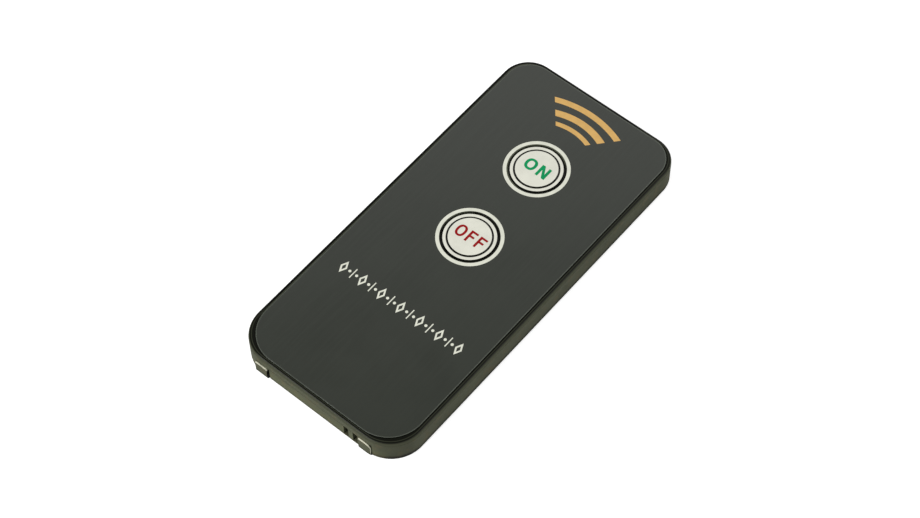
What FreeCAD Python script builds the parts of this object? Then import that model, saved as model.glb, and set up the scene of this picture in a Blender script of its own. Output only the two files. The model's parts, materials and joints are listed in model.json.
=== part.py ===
"""Slim two-key infrared remote control with a coin cell in a slide-out tray.

Millimetres. The origin lies at the middle of the footprint, on the surface that the remote
rests on. +X points right as the face is read, +Y towards the end with the infrared diode
(the head), +Z up out of the face. The end with the battery tray is the foot.
"""
import FreeCAD, Part
import math
import os
import Sketcher

# Driving sizes. Each one is a cell of the spreadsheet, under its own name.
SIZES = {
    # Case outline and walls
    "body_width": 40.0,
    "body_length": 86.2,
    "head_corner_radius": 6.0,
    "foot_corner_radius": 7.3,
    "wall_thickness": 1.2,
    "floor_thickness": 0.9,
    "base_edge_radius": 0.8,
    "parting_chamfer": 0.12,
    "cut_past_face": 1.0,
    # Coin cell
    "cell_diameter": 20.0,
    "cell_height": 2.5,
    "cell_offset": 1.0,
    "cell_edge_radius": 0.35,
    "cell_cap_inset": 1.5,
    "cell_cap_rise": 0.2,
    "cell_cap_edge_radius": 0.2,
    "cell_metal": 0.25,
    "cell_seal_width": 0.5,
    # Battery tray
    "tray_gap": 0.1,
    "tray_floor": 0.4,
    "tray_side_wall": 1.4,
    "tray_front_wall": 0.85,
    "tray_grip": 7.4,
    "tray_rim_drop": 0.5,
    "tray_window_border": 0.4,
    "cell_side_gap": 0.2,
    "cell_lift": 0.05,
    "front_past_wall": 0.2,
    "front_lift": 0.1,
    "front_lap": 0.3,
    "front_end_lap": 1.4,
    "front_corner_radius": 1.1,
    "front_edge_radius": 0.9,
    "end_pad_width": 2.8,
    "end_pad_proud": 0.3,
    "pad_edge_radius": 1.0,
    "grip_groove_width": 1.15,
    "grip_groove_length": 2.8,
    "grip_groove_pitch": 2.2,
    "grip_groove_depth": 0.9,
    "grip_groove_space": 0.4,
    "nail_recess_radius": 6.5,
    "nail_recess_depth": 0.35,
    "port_gap": 0.12,
    "guide_gap": 0.15,
    "guide_thickness": 1.0,
    # Latch arm
    "latch_slit": 0.45,
    "latch_pad_width": 2.85,
    "latch_pad_drop": 0.3,
    "latch_pad_chamfer": 0.3,
    "latch_arm_thickness": 0.9,
    "latch_pivot_radius": 0.6,
    "latch_pivot_gap": 0.05,
    "latch_root_half": 1.15,
    "latch_root_depth": 1.2,
    "latch_catch_length": 1.6,
    "latch_catch_setback": 1.6,
    "latch_catch_gap": 0.1,
    "catch_pocket_depth": 0.4,
    # Circuit board
    "contact_space": 0.4,
    "board_thickness": 0.6,
    "board_gap": 0.3,
    # Top frame
    "deck_thickness": 0.6,
    "label_recess": 0.2,
    "rim_edge_radius": 0.6,
    "lip_gap": 0.15,
    "lip_thickness": 0.75,
    "lip_board_gap": 0.03,
    "hook_width": 4.0,
    "hook_thickness": 0.8,
    "hook_reach": 2.6,
    "hook_barb": 0.35,
    "hook_barb_height": 0.8,
    "hook_barb_land": 0.05,
    "hook_gap": 0.15,
    "hook_station": 24.0,
    "hook_board_gap": 0.25,
    # Label
    "label_side_margin": 1.0,
    "label_end_margin": 0.8,
    "label_head_radius": 5.4,
    "label_foot_radius": 7.6,
    "label_gap": 0.12,
    "adhesive_thickness": 0.05,
    "label_thickness": 0.25,
    "adhesive_inset": 0.3,
    # Keys
    "on_key_from_head": 20.9,
    "key_pitch": 20.3,
    "key_diameter": 10.5,
    "key_gap": 0.35,
    "key_proud": 0.05,
    "key_travel": 0.25,
    "key_travel_spare": 0.15,
    "key_flange_width": 0.95,
    "key_flange_thickness": 0.25,
    "key_flange_gap": 0.3,
    "key_ring_groove_outer": 4.6,
    "key_ring_groove_inner": 4.25,
    "key_ring_groove_depth": 0.2,
    "key_disc_rise": 0.1,
    "key_edge_radius": 0.08,
    "key_skin": 0.45,
    "key_plunger_diameter": 2.4,
    # Snap domes
    "dome_diameter": 8.4,
    "dome_height": 0.28,
    "dome_metal": 0.07,
    "dome_crown_share": 0.25,
    "dome_shoulder_share": 0.6,
    "dome_shoulder_rise": 0.7,
    "sticker_width": 1.2,
    "sticker_thickness": 0.05,
    "plunger_gap": 0.02,
    # Infrared diode
    "led_diameter": 3.0,
    "led_length": 5.3,
    "led_nose_flat": 0.02,
    "led_flange_diameter": 3.3,
    "led_flange_thickness": 0.9,
    "led_setback": 0.15,
    "led_hole_gap": 0.1,
    "led_lead_width": 0.45,
    "led_lead_pitch": 2.54,
    "led_lead_run": 2.2,
    "lead_stand_out": 0.2,
    "lead_hole_radius": 0.45,
    "cradle_width": 5.6,
    "cradle_length": 1.5,
    # Board supports
    "post_diameter": 3.4,
    "peg_diameter": 1.6,
    "peg_gap": 0.1,
    "peg_rise": 0.2,
    "post_side": 12.0,
    "post_from_head": 9.5,
    "stop_gap": 0.6,
    "stop_thickness": 0.8,
    "stop_width": 18.0,
    # Battery contacts
    "contact_metal": 0.15,
    "contact_touch_gap": 0.05,
    "contact_width": 3.0,
    "contact_foot_length": 2.5,
    "negative_reach": 5.6,
    "negative_tip": 1.4,
    "positive_drop": 2.6,
    "positive_bow": 0.35,
    # Controller chip
    "chip_length": 9.9,
    "chip_width": 3.9,
    "chip_height": 1.45,
    "chip_stand_off": 0.1,
    "chip_bevel": 0.15,
    "chip_pin_pitch": 1.27,
    "chip_pin_width": 0.42,
    "chip_pin_metal": 0.2,
    "chip_pin_reach": 1.05,
    "chip_pin_foot": 0.5,
    "chip_side": -6.0,
    "chip_below_on_key": 7.2,
    # Other components
    "resonator_length": 7.2,
    "resonator_width": 3.0,
    "resonator_height": 2.2,
    "resonator_bevel": 0.2,
    "resonator_side": 8.5,
    "resonator_below_on_key": 5.2,
    "transistor_length": 2.9,
    "transistor_width": 1.3,
    "transistor_height": 1.0,
    "transistor_leg": 0.55,
    "transistor_leg_width": 0.4,
    "transistor_leg_pitch": 1.9,
    "transistor_side": 4.5,
    "transistor_above_on_key": 4.8,
    "resistor_length": 3.2,
    "resistor_width": 1.6,
    "resistor_height": 0.55,
    "resistor_cap_length": 0.5,
    "resistor_cap_lip": 0.04,
    "led_resistor_side": -4.5,
    "led_resistor_above_on_key": 4.8,
    "pull_up_side": 8.0,
    "pull_up_above_off_key": 6.6,
    "capacitor_length": 3.5,
    "capacitor_width": 2.8,
    "capacitor_height": 1.9,
    "capacitor_bevel": 0.25,
    "capacitor_side": 3.5,
    "capacitor_below_off_key": 0.4,
}

CHIP_PINS_PER_SIDE = 8

doc = FreeCAD.newDocument("remote_control")
sheet = doc.addObject("Spreadsheet::Sheet", "sizes")
for row, (alias, value) in enumerate(SIZES.items(), start=1):
    sheet.set(f"A{row}", alias)
    sheet.set(f"B{row}", str(value))
    sheet.setAlias(f"B{row}", alias)
doc.recompute()


def minus(first, *rest):
    """Expression for the first term less each of the others."""
    return "(" + " - ".join([first, *rest]) + ")"


def plus(*terms):
    """Expression for a sum."""
    return "(" + " + ".join(terms) + ")"


def times(first, second):
    """Expression for a product."""
    return f"({first} * {second})"


def half(term):
    """Expression for half of a term."""
    return f"({term} / 2)"


def negative(term):
    """Expression for the opposite of a term."""
    return f"(0 - {term})"


def number(expression):
    """Value of an expression, in millimetres."""
    return float(sheet.evalExpression(expression))


def s(alias):
    """Expression that reads one driving size."""
    return f"sizes.{alias}"


# Heights, from the resting surface up
floor_top = s("floor_thickness")
tray_base = plus(floor_top, s("tray_gap"))
cell_base = plus(tray_base, s("tray_floor"), s("cell_lift"))
cell_top = plus(cell_base, s("cell_height"))
tray_rim = minus(cell_top, s("tray_rim_drop"))
board_base = plus(cell_top, s("contact_space"))
board_top = plus(board_base, s("board_thickness"))
key_space = plus(s("sticker_thickness"), s("key_travel"), s("key_travel_spare"))
deck_base = plus(board_top, key_space)
deck_top = plus(deck_base, s("deck_thickness"))
rim_top = plus(deck_top, s("label_recess"))
label_base = plus(deck_top, s("adhesive_thickness"))
label_top = plus(label_base, s("label_thickness"))
port_top = plus(cell_top, s("port_gap"))
latch_top = minus(cell_top, s("latch_pad_drop"))
latch_port_top = plus(latch_top, s("port_gap"))

# Lines across the case, from left to right
side = half(s("body_width"))
inner_side = minus(side, s("wall_thickness"))
cell_seat_radius = plus(half(s("cell_diameter")), s("cell_side_gap"))
tray_left = minus(s("cell_offset"), cell_seat_radius, s("tray_side_wall"))
tray_right = plus(s("cell_offset"), cell_seat_radius, s("tray_side_wall"))
front_left = minus(tray_left, s("front_lap"))
front_right = plus(tray_right, s("front_end_lap"))
slit_left = minus(front_left, s("latch_slit"))
pad_left = minus(slit_left, s("latch_pad_width"))
arm_middle = minus(slit_left, half(s("latch_pad_width")))
arm_left = minus(arm_middle, half(s("latch_arm_thickness")))
arm_right = plus(arm_middle, half(s("latch_arm_thickness")))
root_left = minus(arm_middle, s("latch_root_half"))
guide_left = minus(root_left, s("guide_gap"))
guide_right = plus(tray_right, s("guide_gap"))

# Lines along the case, from foot to head
foot = half(minus(s("end_pad_proud"), s("body_length")))
head = plus(foot, s("body_length"))
pad_face = minus(foot, s("end_pad_proud"))
inner_head = minus(head, s("wall_thickness"))
front_back = plus(foot, s("wall_thickness"), s("front_past_wall"))
cell_middle = plus(front_back, s("tray_front_wall"), cell_seat_radius)
tray_end = plus(cell_middle, s("tray_grip"))
cell_end = plus(cell_middle, half(s("cell_diameter")))
pivot_line = minus(tray_end, s("latch_root_depth"))
stop_line = plus(cell_end, s("contact_metal"), s("positive_bow"), s("contact_foot_length"), s("stop_gap"))
on_key_line = minus(head, s("on_key_from_head"))
off_key_line = minus(on_key_line, s("key_pitch"))
middle_line = half(plus(foot, head))

# Heights and radii shared by the keys, the domes and their holes
key_radius = half(s("key_diameter"))
key_hole_radius = plus(key_radius, s("key_gap"))
flange_radius = plus(key_hole_radius, s("key_flange_width"))
flange_hole_radius = plus(flange_radius, s("key_flange_gap"))
flange_top = plus(deck_base, s("key_flange_thickness"))
key_top = plus(label_top, s("key_proud"))
disc_top = plus(key_top, s("key_disc_rise"))
dome_top = plus(board_top, s("dome_height"))
sticker_top = plus(dome_top, s("sticker_thickness"))
led_height = half(plus(floor_top, board_base))
lead_line = minus(head, s("led_setback"), s("led_length"), s("led_lead_run"))
led_back = minus(head, s("led_setback"), s("led_length"))


def new_body(name):
    """Empty body whose label is the name of its node."""
    body = doc.addObject("PartDesign::Body", name)
    body.Label = name
    return body


def origin_feature(body, role):
    """One of the body's own origin planes or axes."""
    for feature in body.Origin.OriginFeatures:
        if feature.Role == role:
            return feature
    raise ValueError(role)


def new_sketch(body, name, plane="XY_Plane", offset=None):
    """Sketch on one of the body's origin planes, shifted along the plane's normal."""
    sketch = body.newObject("Sketcher::SketchObject", name)
    sketch.AttachmentSupport = [(origin_feature(body, plane), "")]
    sketch.MapMode = "FlatFace"
    if offset is not None:
        sketch.setExpression("AttachmentOffset.Base.z", offset)
    return sketch


def bind(sketch, kind, references, expression):
    """Add a dimension to a sketch and tie it to an expression."""
    value = number(expression)
    index = sketch.addConstraint(Sketcher.Constraint(kind, *references, value))
    name = f"{kind}{index}"
    sketch.renameConstraint(index, name)
    sketch.setExpression(f"Constraints.{name}", expression)


def pin(sketch, geometry, point, x, y):
    """Fix a point of a sketch at two expressions, measured from the sketch's origin."""
    bind(sketch, "DistanceX", (-1, 1, geometry, point), x)
    bind(sketch, "DistanceY", (-1, 1, geometry, point), y)


def draw_circle(sketch, x, y, radius):
    """Circle with its middle at two expressions."""
    middle = FreeCAD.Vector(number(x), number(y), 0)
    circle = Part.Circle(middle, FreeCAD.Vector(0, 0, 1), number(radius))
    index = sketch.addGeometry(circle, False)
    pin(sketch, index, 3, x, y)
    bind(sketch, "Radius", (index,), radius)


def draw_polygon(sketch, corners):
    """Closed run of straight lines through corners given as pairs of expressions."""
    spots = [FreeCAD.Vector(number(x), number(y), 0) for x, y in corners]
    first = sketch.GeometryCount
    count = len(corners)
    for index in range(count):
        line = Part.LineSegment(spots[index], spots[(index + 1) % count])
        sketch.addGeometry(line, False)
    for index in range(count):
        following = first + (index + 1) % count
        sketch.addConstraint(Sketcher.Constraint("Coincident", first + index, 2, following, 1))
    for index, (x, y) in enumerate(corners):
        pin(sketch, first + index, 1, x, y)


def draw_rectangle(sketch, left, right, low, high):
    """Rectangle between four expressions."""
    draw_polygon(sketch, [(left, low), (right, low), (right, high), (left, high)])


def draw_rounded(sketch, reach, low, high, low_radius, high_radius):
    """Rounded rectangle about the sketch's vertical axis, with a radius for each end."""
    x, y0, y1 = number(reach), number(low), number(high)
    r0, r1 = number(low_radius), number(high_radius)
    up = FreeCAD.Vector(0, 0, 1)

    def line(ax, ay, bx, by):
        segment = Part.LineSegment(FreeCAD.Vector(ax, ay, 0), FreeCAD.Vector(bx, by, 0))
        return sketch.addGeometry(segment, False)

    def arc(cx, cy, radius, start):
        circle = Part.Circle(FreeCAD.Vector(cx, cy, 0), up, radius)
        return sketch.addGeometry(Part.ArcOfCircle(circle, start, start + math.pi / 2), False)

    low_line = line(-x + r0, y0, x - r0, y0)
    low_right = arc(x - r0, y0 + r0, r0, -math.pi / 2)
    right_line = line(x, y0 + r0, x, y1 - r1)
    high_right = arc(x - r1, y1 - r1, r1, 0.0)
    high_line = line(x - r1, y1, -x + r1, y1)
    high_left = arc(-x + r1, y1 - r1, r1, math.pi / 2)
    left_line = line(-x, y1 - r1, -x, y0 + r0)
    low_left = arc(-x + r0, y0 + r0, r0, math.pi)
    loop = [low_line, low_right, right_line, high_right, high_line, high_left, left_line, low_left]
    for index, edge in enumerate(loop):
        following = loop[(index + 1) % len(loop)]
        sketch.addConstraint(Sketcher.Constraint("Tangent", edge, 2, following, 1))
    for edge in (low_line, high_line):
        sketch.addConstraint(Sketcher.Constraint("Horizontal", edge))
    for edge in (right_line, left_line):
        sketch.addConstraint(Sketcher.Constraint("Vertical", edge))
    for edge, radius in ((low_right, low_radius), (low_left, low_radius),
                         (high_right, high_radius), (high_left, high_radius)):
        bind(sketch, "Radius", (edge,), radius)
    bind(sketch, "DistanceX", (-1, 1, right_line, 1), reach)
    bind(sketch, "DistanceX", (-1, 1, left_line, 1), negative(reach))
    bind(sketch, "DistanceY", (-1, 1, low_line, 1), low)
    bind(sketch, "DistanceY", (-1, 1, high_line, 1), high)


def draw_front_profile(sketch, face, back, low, high, radius):
    """Upright rectangle in the YZ plane whose lower corner at the face is rounded."""
    y0, y1, z0, z1, r = (number(term) for term in (face, back, low, high, radius))
    spots = [(y0 + r, z0), (y1, z0), (y1, z1), (y0, z1), (y0, z0 + r)]
    points = [FreeCAD.Vector(y, z, 0) for y, z in spots]
    lines = [sketch.addGeometry(Part.LineSegment(a, b), False) for a, b in zip(points, points[1:])]
    circle = Part.Circle(FreeCAD.Vector(y0 + r, z0 + r, 0), FreeCAD.Vector(0, 0, 1), r)
    corner = sketch.addGeometry(Part.ArcOfCircle(circle, math.pi, math.pi * 1.5), False)
    for first, second in zip(lines, lines[1:]):
        sketch.addConstraint(Sketcher.Constraint("Coincident", first, 2, second, 1))
    sketch.addConstraint(Sketcher.Constraint("Tangent", lines[-1], 2, corner, 1))
    sketch.addConstraint(Sketcher.Constraint("Tangent", corner, 2, lines[0], 1))
    for index, kind in enumerate(("Horizontal", "Vertical", "Horizontal", "Vertical")):
        sketch.addConstraint(Sketcher.Constraint(kind, lines[index]))
    bind(sketch, "Radius", (corner,), radius)
    pin(sketch, lines[1], 1, back, low)
    pin(sketch, lines[2], 2, face, high)


def settle(body, feature):
    """Make a feature the body's last one and work it out."""
    body.Tip = feature
    doc.recompute()
    if feature.Shape.isNull() or not feature.Shape.isValid():
        raise RuntimeError(f"{feature.Name} has no valid shape")
    return feature


def add_pad(body, name, sketch, length, downward=False):
    """Pad of a sketch, away from or against its plane's normal."""
    pad = body.newObject("PartDesign::Pad", name)
    pad.Profile = sketch
    pad.Reversed = downward
    pad.setExpression("Length", length)
    sketch.Visibility = False
    return settle(body, pad)


def add_pocket(body, name, sketch, length, upward=False):
    """Pocket below a sketch, or above it, that has to take material away."""
    before = body.Shape.Volume
    pocket = body.newObject("PartDesign::Pocket", name)
    pocket.Profile = sketch
    pocket.Reversed = upward
    pocket.setExpression("Length", length)
    settle(body, pocket)
    if body.Shape.Volume > before - 1e-6:
        raise ValueError(f"{name} cuts nothing")
    return pocket


def add_turned(body, name, corners):
    """Solid turned about the body's Z axis from corners given as radius and height."""
    sketch = new_sketch(body, f"{name}_profile", "XZ_Plane")
    draw_polygon(sketch, corners)
    turned = body.newObject("PartDesign::Revolution", name)
    turned.Profile = sketch
    turned.ReferenceAxis = (sketch, ["V_Axis"])
    turned.Angle = 360
    return settle(body, turned)


def edges_where(shape, test):
    """Names of the edges whose bounding box passes a test."""
    return [f"Edge{index}" for index, edge in enumerate(shape.Edges, start=1) if test(edge.BoundBox)]


def dress_edges(body, kind, name, test, size_name, expression):
    """Fillet or chamfer on the edges of a body that pass a test."""
    base = body.Tip
    names = edges_where(base.Shape, test)
    if not names:
        raise ValueError(f"{name} finds no edge")
    feature = body.newObject(kind, name)
    feature.Base = (base, names)
    feature.setExpression(size_name, expression)
    return settle(body, feature)


def add_fillet(body, name, test, expression):
    """Round the edges that pass a test."""
    return dress_edges(body, "PartDesign::Fillet", name, test, "Radius", expression)


def add_chamfer(body, name, test, expression):
    """Bevel the edges that pass a test."""
    return dress_edges(body, "PartDesign::Chamfer", name, test, "Size", expression)


def near(a, b):
    """Whether two numbers are the same length."""
    return abs(a - b) < 1e-4


def level(box, z):
    """Whether a bounding box lies flat at a height."""
    return near(box.ZMin, z) and near(box.ZMax, z)


def place(item, x=None, y=None, z=None):
    """Tie the position of a sub-part to expressions."""
    for axis, expression in (("x", x), ("y", y), ("z", z)):
        if expression is not None:
            item.setExpression(f"Placement.Base.{axis}", expression)
    doc.recompute()


def new_box(name, x, y, z, length, width, height):
    """Box from its lowest corner and its three sizes, all expressions."""
    box = doc.addObject("Part::Box", name)
    for key, expression in (("Length", length), ("Width", width), ("Height", height)):
        box.setExpression(key, expression)
    place(box, x, y, z)
    return box


def new_fuse(name, shapes):
    """Union of several objects."""
    fuse = doc.addObject("Part::MultiFuse", name)
    fuse.Shapes = shapes
    fuse.Label = name
    doc.recompute()
    return fuse


def new_group(name, shapes):
    """One node of separate solids."""
    group = doc.addObject("Part::Compound", name)
    group.Links = shapes
    group.Label = name
    doc.recompute()
    return group


def draw_case_outline(sketch, inset="0"):
    """Outline of the case in plan, or a parallel line inside it."""
    draw_rounded(
        sketch,
        minus(side, inset),
        plus(foot, inset),
        minus(head, inset),
        minus(s("foot_corner_radius"), inset),
        minus(s("head_corner_radius"), inset),
    )


def hook_lines():
    """Stations of the snap hooks along the case."""
    return (minus(middle_line, s("hook_station")), plus(middle_line, s("hook_station")))


def signed_range(sign, near_side, far_side):
    """Left and right expressions of a strip on one side of the middle plane."""
    if sign > 0:
        return near_side, far_side
    return negative(far_side), negative(near_side)


def cut_nail_recess(body, level_above):
    """Round recess under the foot end, for the nail that pulls the tray."""
    recess = new_sketch(body, "nail_recess_outline", offset=level_above)
    draw_circle(recess, s("cell_offset"), front_back, s("nail_recess_radius"))
    return add_pocket(body, "nail_recess", recess, level_above)


def hook_face():
    """Outer face of a snap hook, measured from the middle plane."""
    return minus(inner_side, s("hook_gap"))


def hook_span(line, spare):
    """Foot and head faces of a snap hook at a station, with some spare room."""
    reach = plus(half(s("hook_width")), spare)
    return minus(line, reach), plus(line, reach)


def hook_barb_top():
    """Upper face of the window that a hook's barb sits in."""
    return plus(minus(deck_base, s("hook_reach")), s("hook_barb_height"), s("hook_gap"))


def catch_span(spare_name):
    """Foot and head faces of the latch catch, with some spare room."""
    start = plus(front_back, s("latch_catch_setback"))
    spare = s(spare_name)
    return minus(start, spare), plus(start, s("latch_catch_length"), spare)


def build_rear_shell():
    """Lower case: floor, side walls, tray port, guides, board posts and the diode's cradle."""
    body = new_body("rear_shell")
    outline = new_sketch(body, "shell_outline")
    draw_case_outline(outline)
    add_pad(body, "shell_block", outline, deck_base)
    add_fillet(body, "shell_base_round", lambda box: level(box, 0), s("base_edge_radius"))
    top = number(deck_base)
    add_chamfer(body, "shell_parting_bevel", lambda box: level(box, top), s("parting_chamfer"))

    hollow = new_sketch(body, "shell_hollow_outline", offset=deck_base)
    draw_case_outline(hollow, s("wall_thickness"))
    add_pocket(body, "shell_hollow", hollow, minus(deck_base, floor_top))

    guides = new_sketch(body, "guide_outline", offset=floor_top)
    draw_rectangle(guides, minus(guide_left, s("guide_thickness")), guide_left, front_back, pivot_line)
    draw_rectangle(guides, guide_right, plus(guide_right, s("guide_thickness")), front_back, pivot_line)
    stop_half = half(s("stop_width"))
    draw_rectangle(guides, minus(s("cell_offset"), stop_half), plus(s("cell_offset"), stop_half),
                   stop_line, plus(stop_line, s("stop_thickness")))
    add_pad(body, "guides_and_stop", guides, minus(board_base, floor_top))

    post_line = minus(head, s("post_from_head"))
    posts = new_sketch(body, "post_outline", offset=floor_top)
    for x in (s("post_side"), negative(s("post_side"))):
        draw_circle(posts, x, post_line, half(s("post_diameter")))
    add_pad(body, "board_posts", posts, minus(board_base, floor_top))
    pegs = new_sketch(body, "peg_outline", offset=board_base)
    for x in (s("post_side"), negative(s("post_side"))):
        draw_circle(pegs, x, post_line, half(s("peg_diameter")))
    add_pad(body, "board_pegs", pegs, plus(s("board_thickness"), s("peg_rise")))

    cradle = new_sketch(body, "cradle_outline", offset=floor_top)
    cradle_half = half(s("cradle_width"))
    draw_rectangle(cradle, negative(cradle_half), cradle_half,
                   minus(inner_head, s("cradle_length")), plus(inner_head, half(s("wall_thickness"))))
    add_pad(body, "led_cradle", cradle, minus(led_height, floor_top))
    bore_start = plus(head, s("cut_past_face"))
    led_bore = new_sketch(body, "led_bore_outline", "XZ_Plane", negative(bore_start))
    draw_circle(led_bore, "0", led_height, plus(half(s("led_diameter")), s("led_hole_gap")))
    bore_end = minus(inner_head, s("cradle_length"), s("cut_past_face"))
    add_pocket(body, "led_bore", led_bore, minus(bore_start, bore_end), upward=True)

    seat_face = minus(pad_face, s("cut_past_face"))
    seat_back = plus(front_back, s("port_gap"))
    seat = new_sketch(body, "front_seat_outline", offset=port_top)
    draw_rectangle(seat, minus(front_left, s("port_gap")), plus(front_right, s("port_gap")),
                   seat_face, seat_back)
    add_pocket(body, "front_seat", seat, plus(port_top, s("cut_past_face")))
    latch_seat = new_sketch(body, "latch_seat_outline", offset=latch_port_top)
    draw_rectangle(latch_seat, minus(pad_left, s("port_gap")), front_left, seat_face, seat_back)
    add_pocket(body, "latch_seat", latch_seat, plus(latch_port_top, s("cut_past_face")))

    cut_nail_recess(body, s("nail_recess_depth"))

    catch = new_sketch(body, "catch_pocket_outline", offset=tray_rim)
    draw_rectangle(catch, minus(guide_left, s("catch_pocket_depth")), guide_left, *catch_span("port_gap"))
    add_pocket(body, "catch_pocket", catch, minus(tray_rim, floor_top))

    windows = new_sketch(body, "hook_window_outline", offset=hook_barb_top())
    for line in hook_lines():
        for sign in (1, -1):
            window_end = plus(hook_face(), s("hook_barb"), s("hook_gap"))
            left, right = signed_range(sign, hook_face(), window_end)
            draw_rectangle(windows, left, right, *hook_span(line, s("hook_gap")))
    add_pocket(body, "hook_windows", windows, plus(s("hook_barb_height"), s("hook_gap"), s("hook_gap")))
    return body


def build_top_frame():
    """Thin frame round the face, with the deck under the label, a locating lip and four hooks."""
    body = new_body("top_frame")
    outline = new_sketch(body, "frame_outline", offset=deck_base)
    draw_case_outline(outline)
    add_pad(body, "frame_plate", outline, minus(rim_top, deck_base))
    top = number(rim_top)
    base = number(deck_base)
    add_fillet(body, "rim_round", lambda box: level(box, top), s("rim_edge_radius"))
    add_chamfer(body, "frame_parting_bevel", lambda box: level(box, base), s("parting_chamfer"))

    recess = new_sketch(body, "label_recess_outline", offset=rim_top)
    draw_label_outline(recess, s("label_gap"))
    add_pocket(body, "label_seat", recess, s("label_recess"))

    flange_seats = new_sketch(body, "flange_seat_outline", offset=deck_base)
    key_holes = new_sketch(body, "key_hole_outline", offset=deck_top)
    for line in (on_key_line, off_key_line):
        draw_circle(flange_seats, "0", line, flange_hole_radius)
        draw_circle(key_holes, "0", line, key_hole_radius)
    add_pocket(body, "flange_seats", flange_seats, s("key_flange_thickness"), upward=True)
    add_pocket(body, "key_holes", key_holes, s("deck_thickness"))

    lip = new_sketch(body, "lip_outline", offset=deck_base)
    lip_inset = plus(s("wall_thickness"), s("lip_gap"))
    draw_case_outline(lip, lip_inset)
    draw_case_outline(lip, plus(lip_inset, s("lip_thickness")))
    add_pad(body, "locating_lip", lip, minus(key_space, s("lip_board_gap")), downward=True)

    hooks = new_sketch(body, "hook_outline", offset=deck_base)
    barbs = new_sketch(body, "barb_outline", offset=minus(deck_base, s("hook_reach")))
    for line in hook_lines():
        for sign in (1, -1):
            inner = minus(hook_face(), s("hook_thickness"))
            draw_rectangle(hooks, *signed_range(sign, inner, hook_face()), *hook_span(line, "0"))
            outer = plus(hook_face(), s("hook_barb"))
            draw_rectangle(barbs, *signed_range(sign, inner, outer), *hook_span(line, "0"))
    add_pad(body, "snap_hooks", hooks, s("hook_reach"), downward=True)
    add_pad(body, "hook_barbs", barbs, s("hook_barb_height"))
    tip = number(minus(deck_base, s("hook_reach")))
    reach = number(plus(hook_face(), s("hook_barb")))

    def barb_edge(box):
        outermost = near(box.XMin, box.XMax) and near(abs(box.XMin), reach)
        return outermost and level(box, tip)

    add_chamfer(body, "barb_bevels", barb_edge, minus(s("hook_barb"), s("hook_barb_land")))
    return body


def draw_label_outline(sketch, spare="0"):
    """Outline of the label in plan, or a parallel line outside it."""
    end_margin = minus(s("label_end_margin"), spare)
    draw_rounded(
        sketch,
        minus(side, s("label_side_margin"), negative(spare)),
        plus(foot, end_margin),
        minus(head, end_margin),
        plus(s("label_foot_radius"), spare),
        plus(s("label_head_radius"), spare),
    )


def build_label_sheet(name, base, thickness, inset, hole_spare):
    """Flat sheet of the label's outline with the two key holes."""
    body = new_body(name)
    outline = new_sketch(body, f"{name}_outline", offset=base)
    draw_label_outline(outline, negative(inset))
    for line in (on_key_line, off_key_line):
        draw_circle(outline, "0", line, plus(key_hole_radius, hole_spare))
    add_pad(body, f"{name}_sheet", outline, thickness)
    return body


def build_key(name, line):
    """Round key cap: ring, thin groove and raised disc above, flange and plunger below."""
    body = new_body(name)
    groove_floor = minus(key_top, s("key_ring_groove_depth"))
    roof = minus(groove_floor, s("key_skin"))
    plunger = half(s("key_plunger_diameter"))
    skirt = minus(key_radius, s("key_skin"))
    add_turned(body, f"{name}_cap", [
        ("0", plus(sticker_top, s("plunger_gap"))),
        (plunger, plus(sticker_top, s("plunger_gap"))),
        (plunger, roof),
        (skirt, roof),
        (skirt, deck_base),
        (flange_radius, deck_base),
        (flange_radius, flange_top),
        (key_radius, flange_top),
        (key_radius, key_top),
        (s("key_ring_groove_outer"), key_top),
        (s("key_ring_groove_outer"), groove_floor),
        (s("key_ring_groove_inner"), groove_floor),
        (s("key_ring_groove_inner"), disc_top),
        ("0", disc_top),
    ])
    crown = number(key_top)
    disc = number(disc_top)

    def top_edge(box):
        return level(box, crown) or level(box, disc)

    add_fillet(body, f"{name}_rounds", top_edge, s("key_edge_radius"))
    place(body, y=line)
    return body


def dome_lines():
    """Rim, shoulder and crown radii of a dome, and the height of its hollow side at the shoulder."""
    rim = half(s("dome_diameter"))
    shoulder = times(rim, s("dome_shoulder_share"))
    crown = times(rim, s("dome_crown_share"))
    shoulder_rise = times(minus(s("dome_height"), s("dome_metal")), s("dome_shoulder_rise"))
    return rim, shoulder, crown, plus(board_top, shoulder_rise)


def build_dome(name, line):
    """Metal snap dome that sits on the board under a key."""
    body = new_body(name)
    metal = s("dome_metal")
    rim, shoulder, crown, shoulder_under = dome_lines()
    add_turned(body, f"{name}_shell", [
        ("0", minus(dome_top, metal)),
        (crown, minus(dome_top, metal)),
        (shoulder, shoulder_under),
        (minus(rim, metal), board_top),
        (rim, board_top),
        (rim, plus(board_top, metal)),
        (shoulder, plus(shoulder_under, metal)),
        (crown, dome_top),
        ("0", dome_top),
    ])
    place(body, y=line)
    return body


def build_sticker(name, line):
    """Clear film that covers a dome and sticks to the board round it."""
    body = new_body(name)
    film = s("sticker_thickness")
    metal = s("dome_metal")
    rim, shoulder, crown, shoulder_under = dome_lines()
    clear_rim = plus(rim, film)
    edge = plus(clear_rim, s("sticker_width"))
    add_turned(body, f"{name}_film", [
        ("0", dome_top),
        (crown, dome_top),
        (shoulder, plus(shoulder_under, metal)),
        (rim, plus(board_top, metal)),
        (rim, board_top),
        (edge, board_top),
        (edge, plus(board_top, film)),
        (clear_rim, plus(board_top, film)),
        (clear_rim, plus(board_top, metal, film)),
        (shoulder, plus(shoulder_under, metal, film)),
        (crown, sticker_top),
        ("0", sticker_top),
    ])
    place(body, y=line)
    return body


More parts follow.
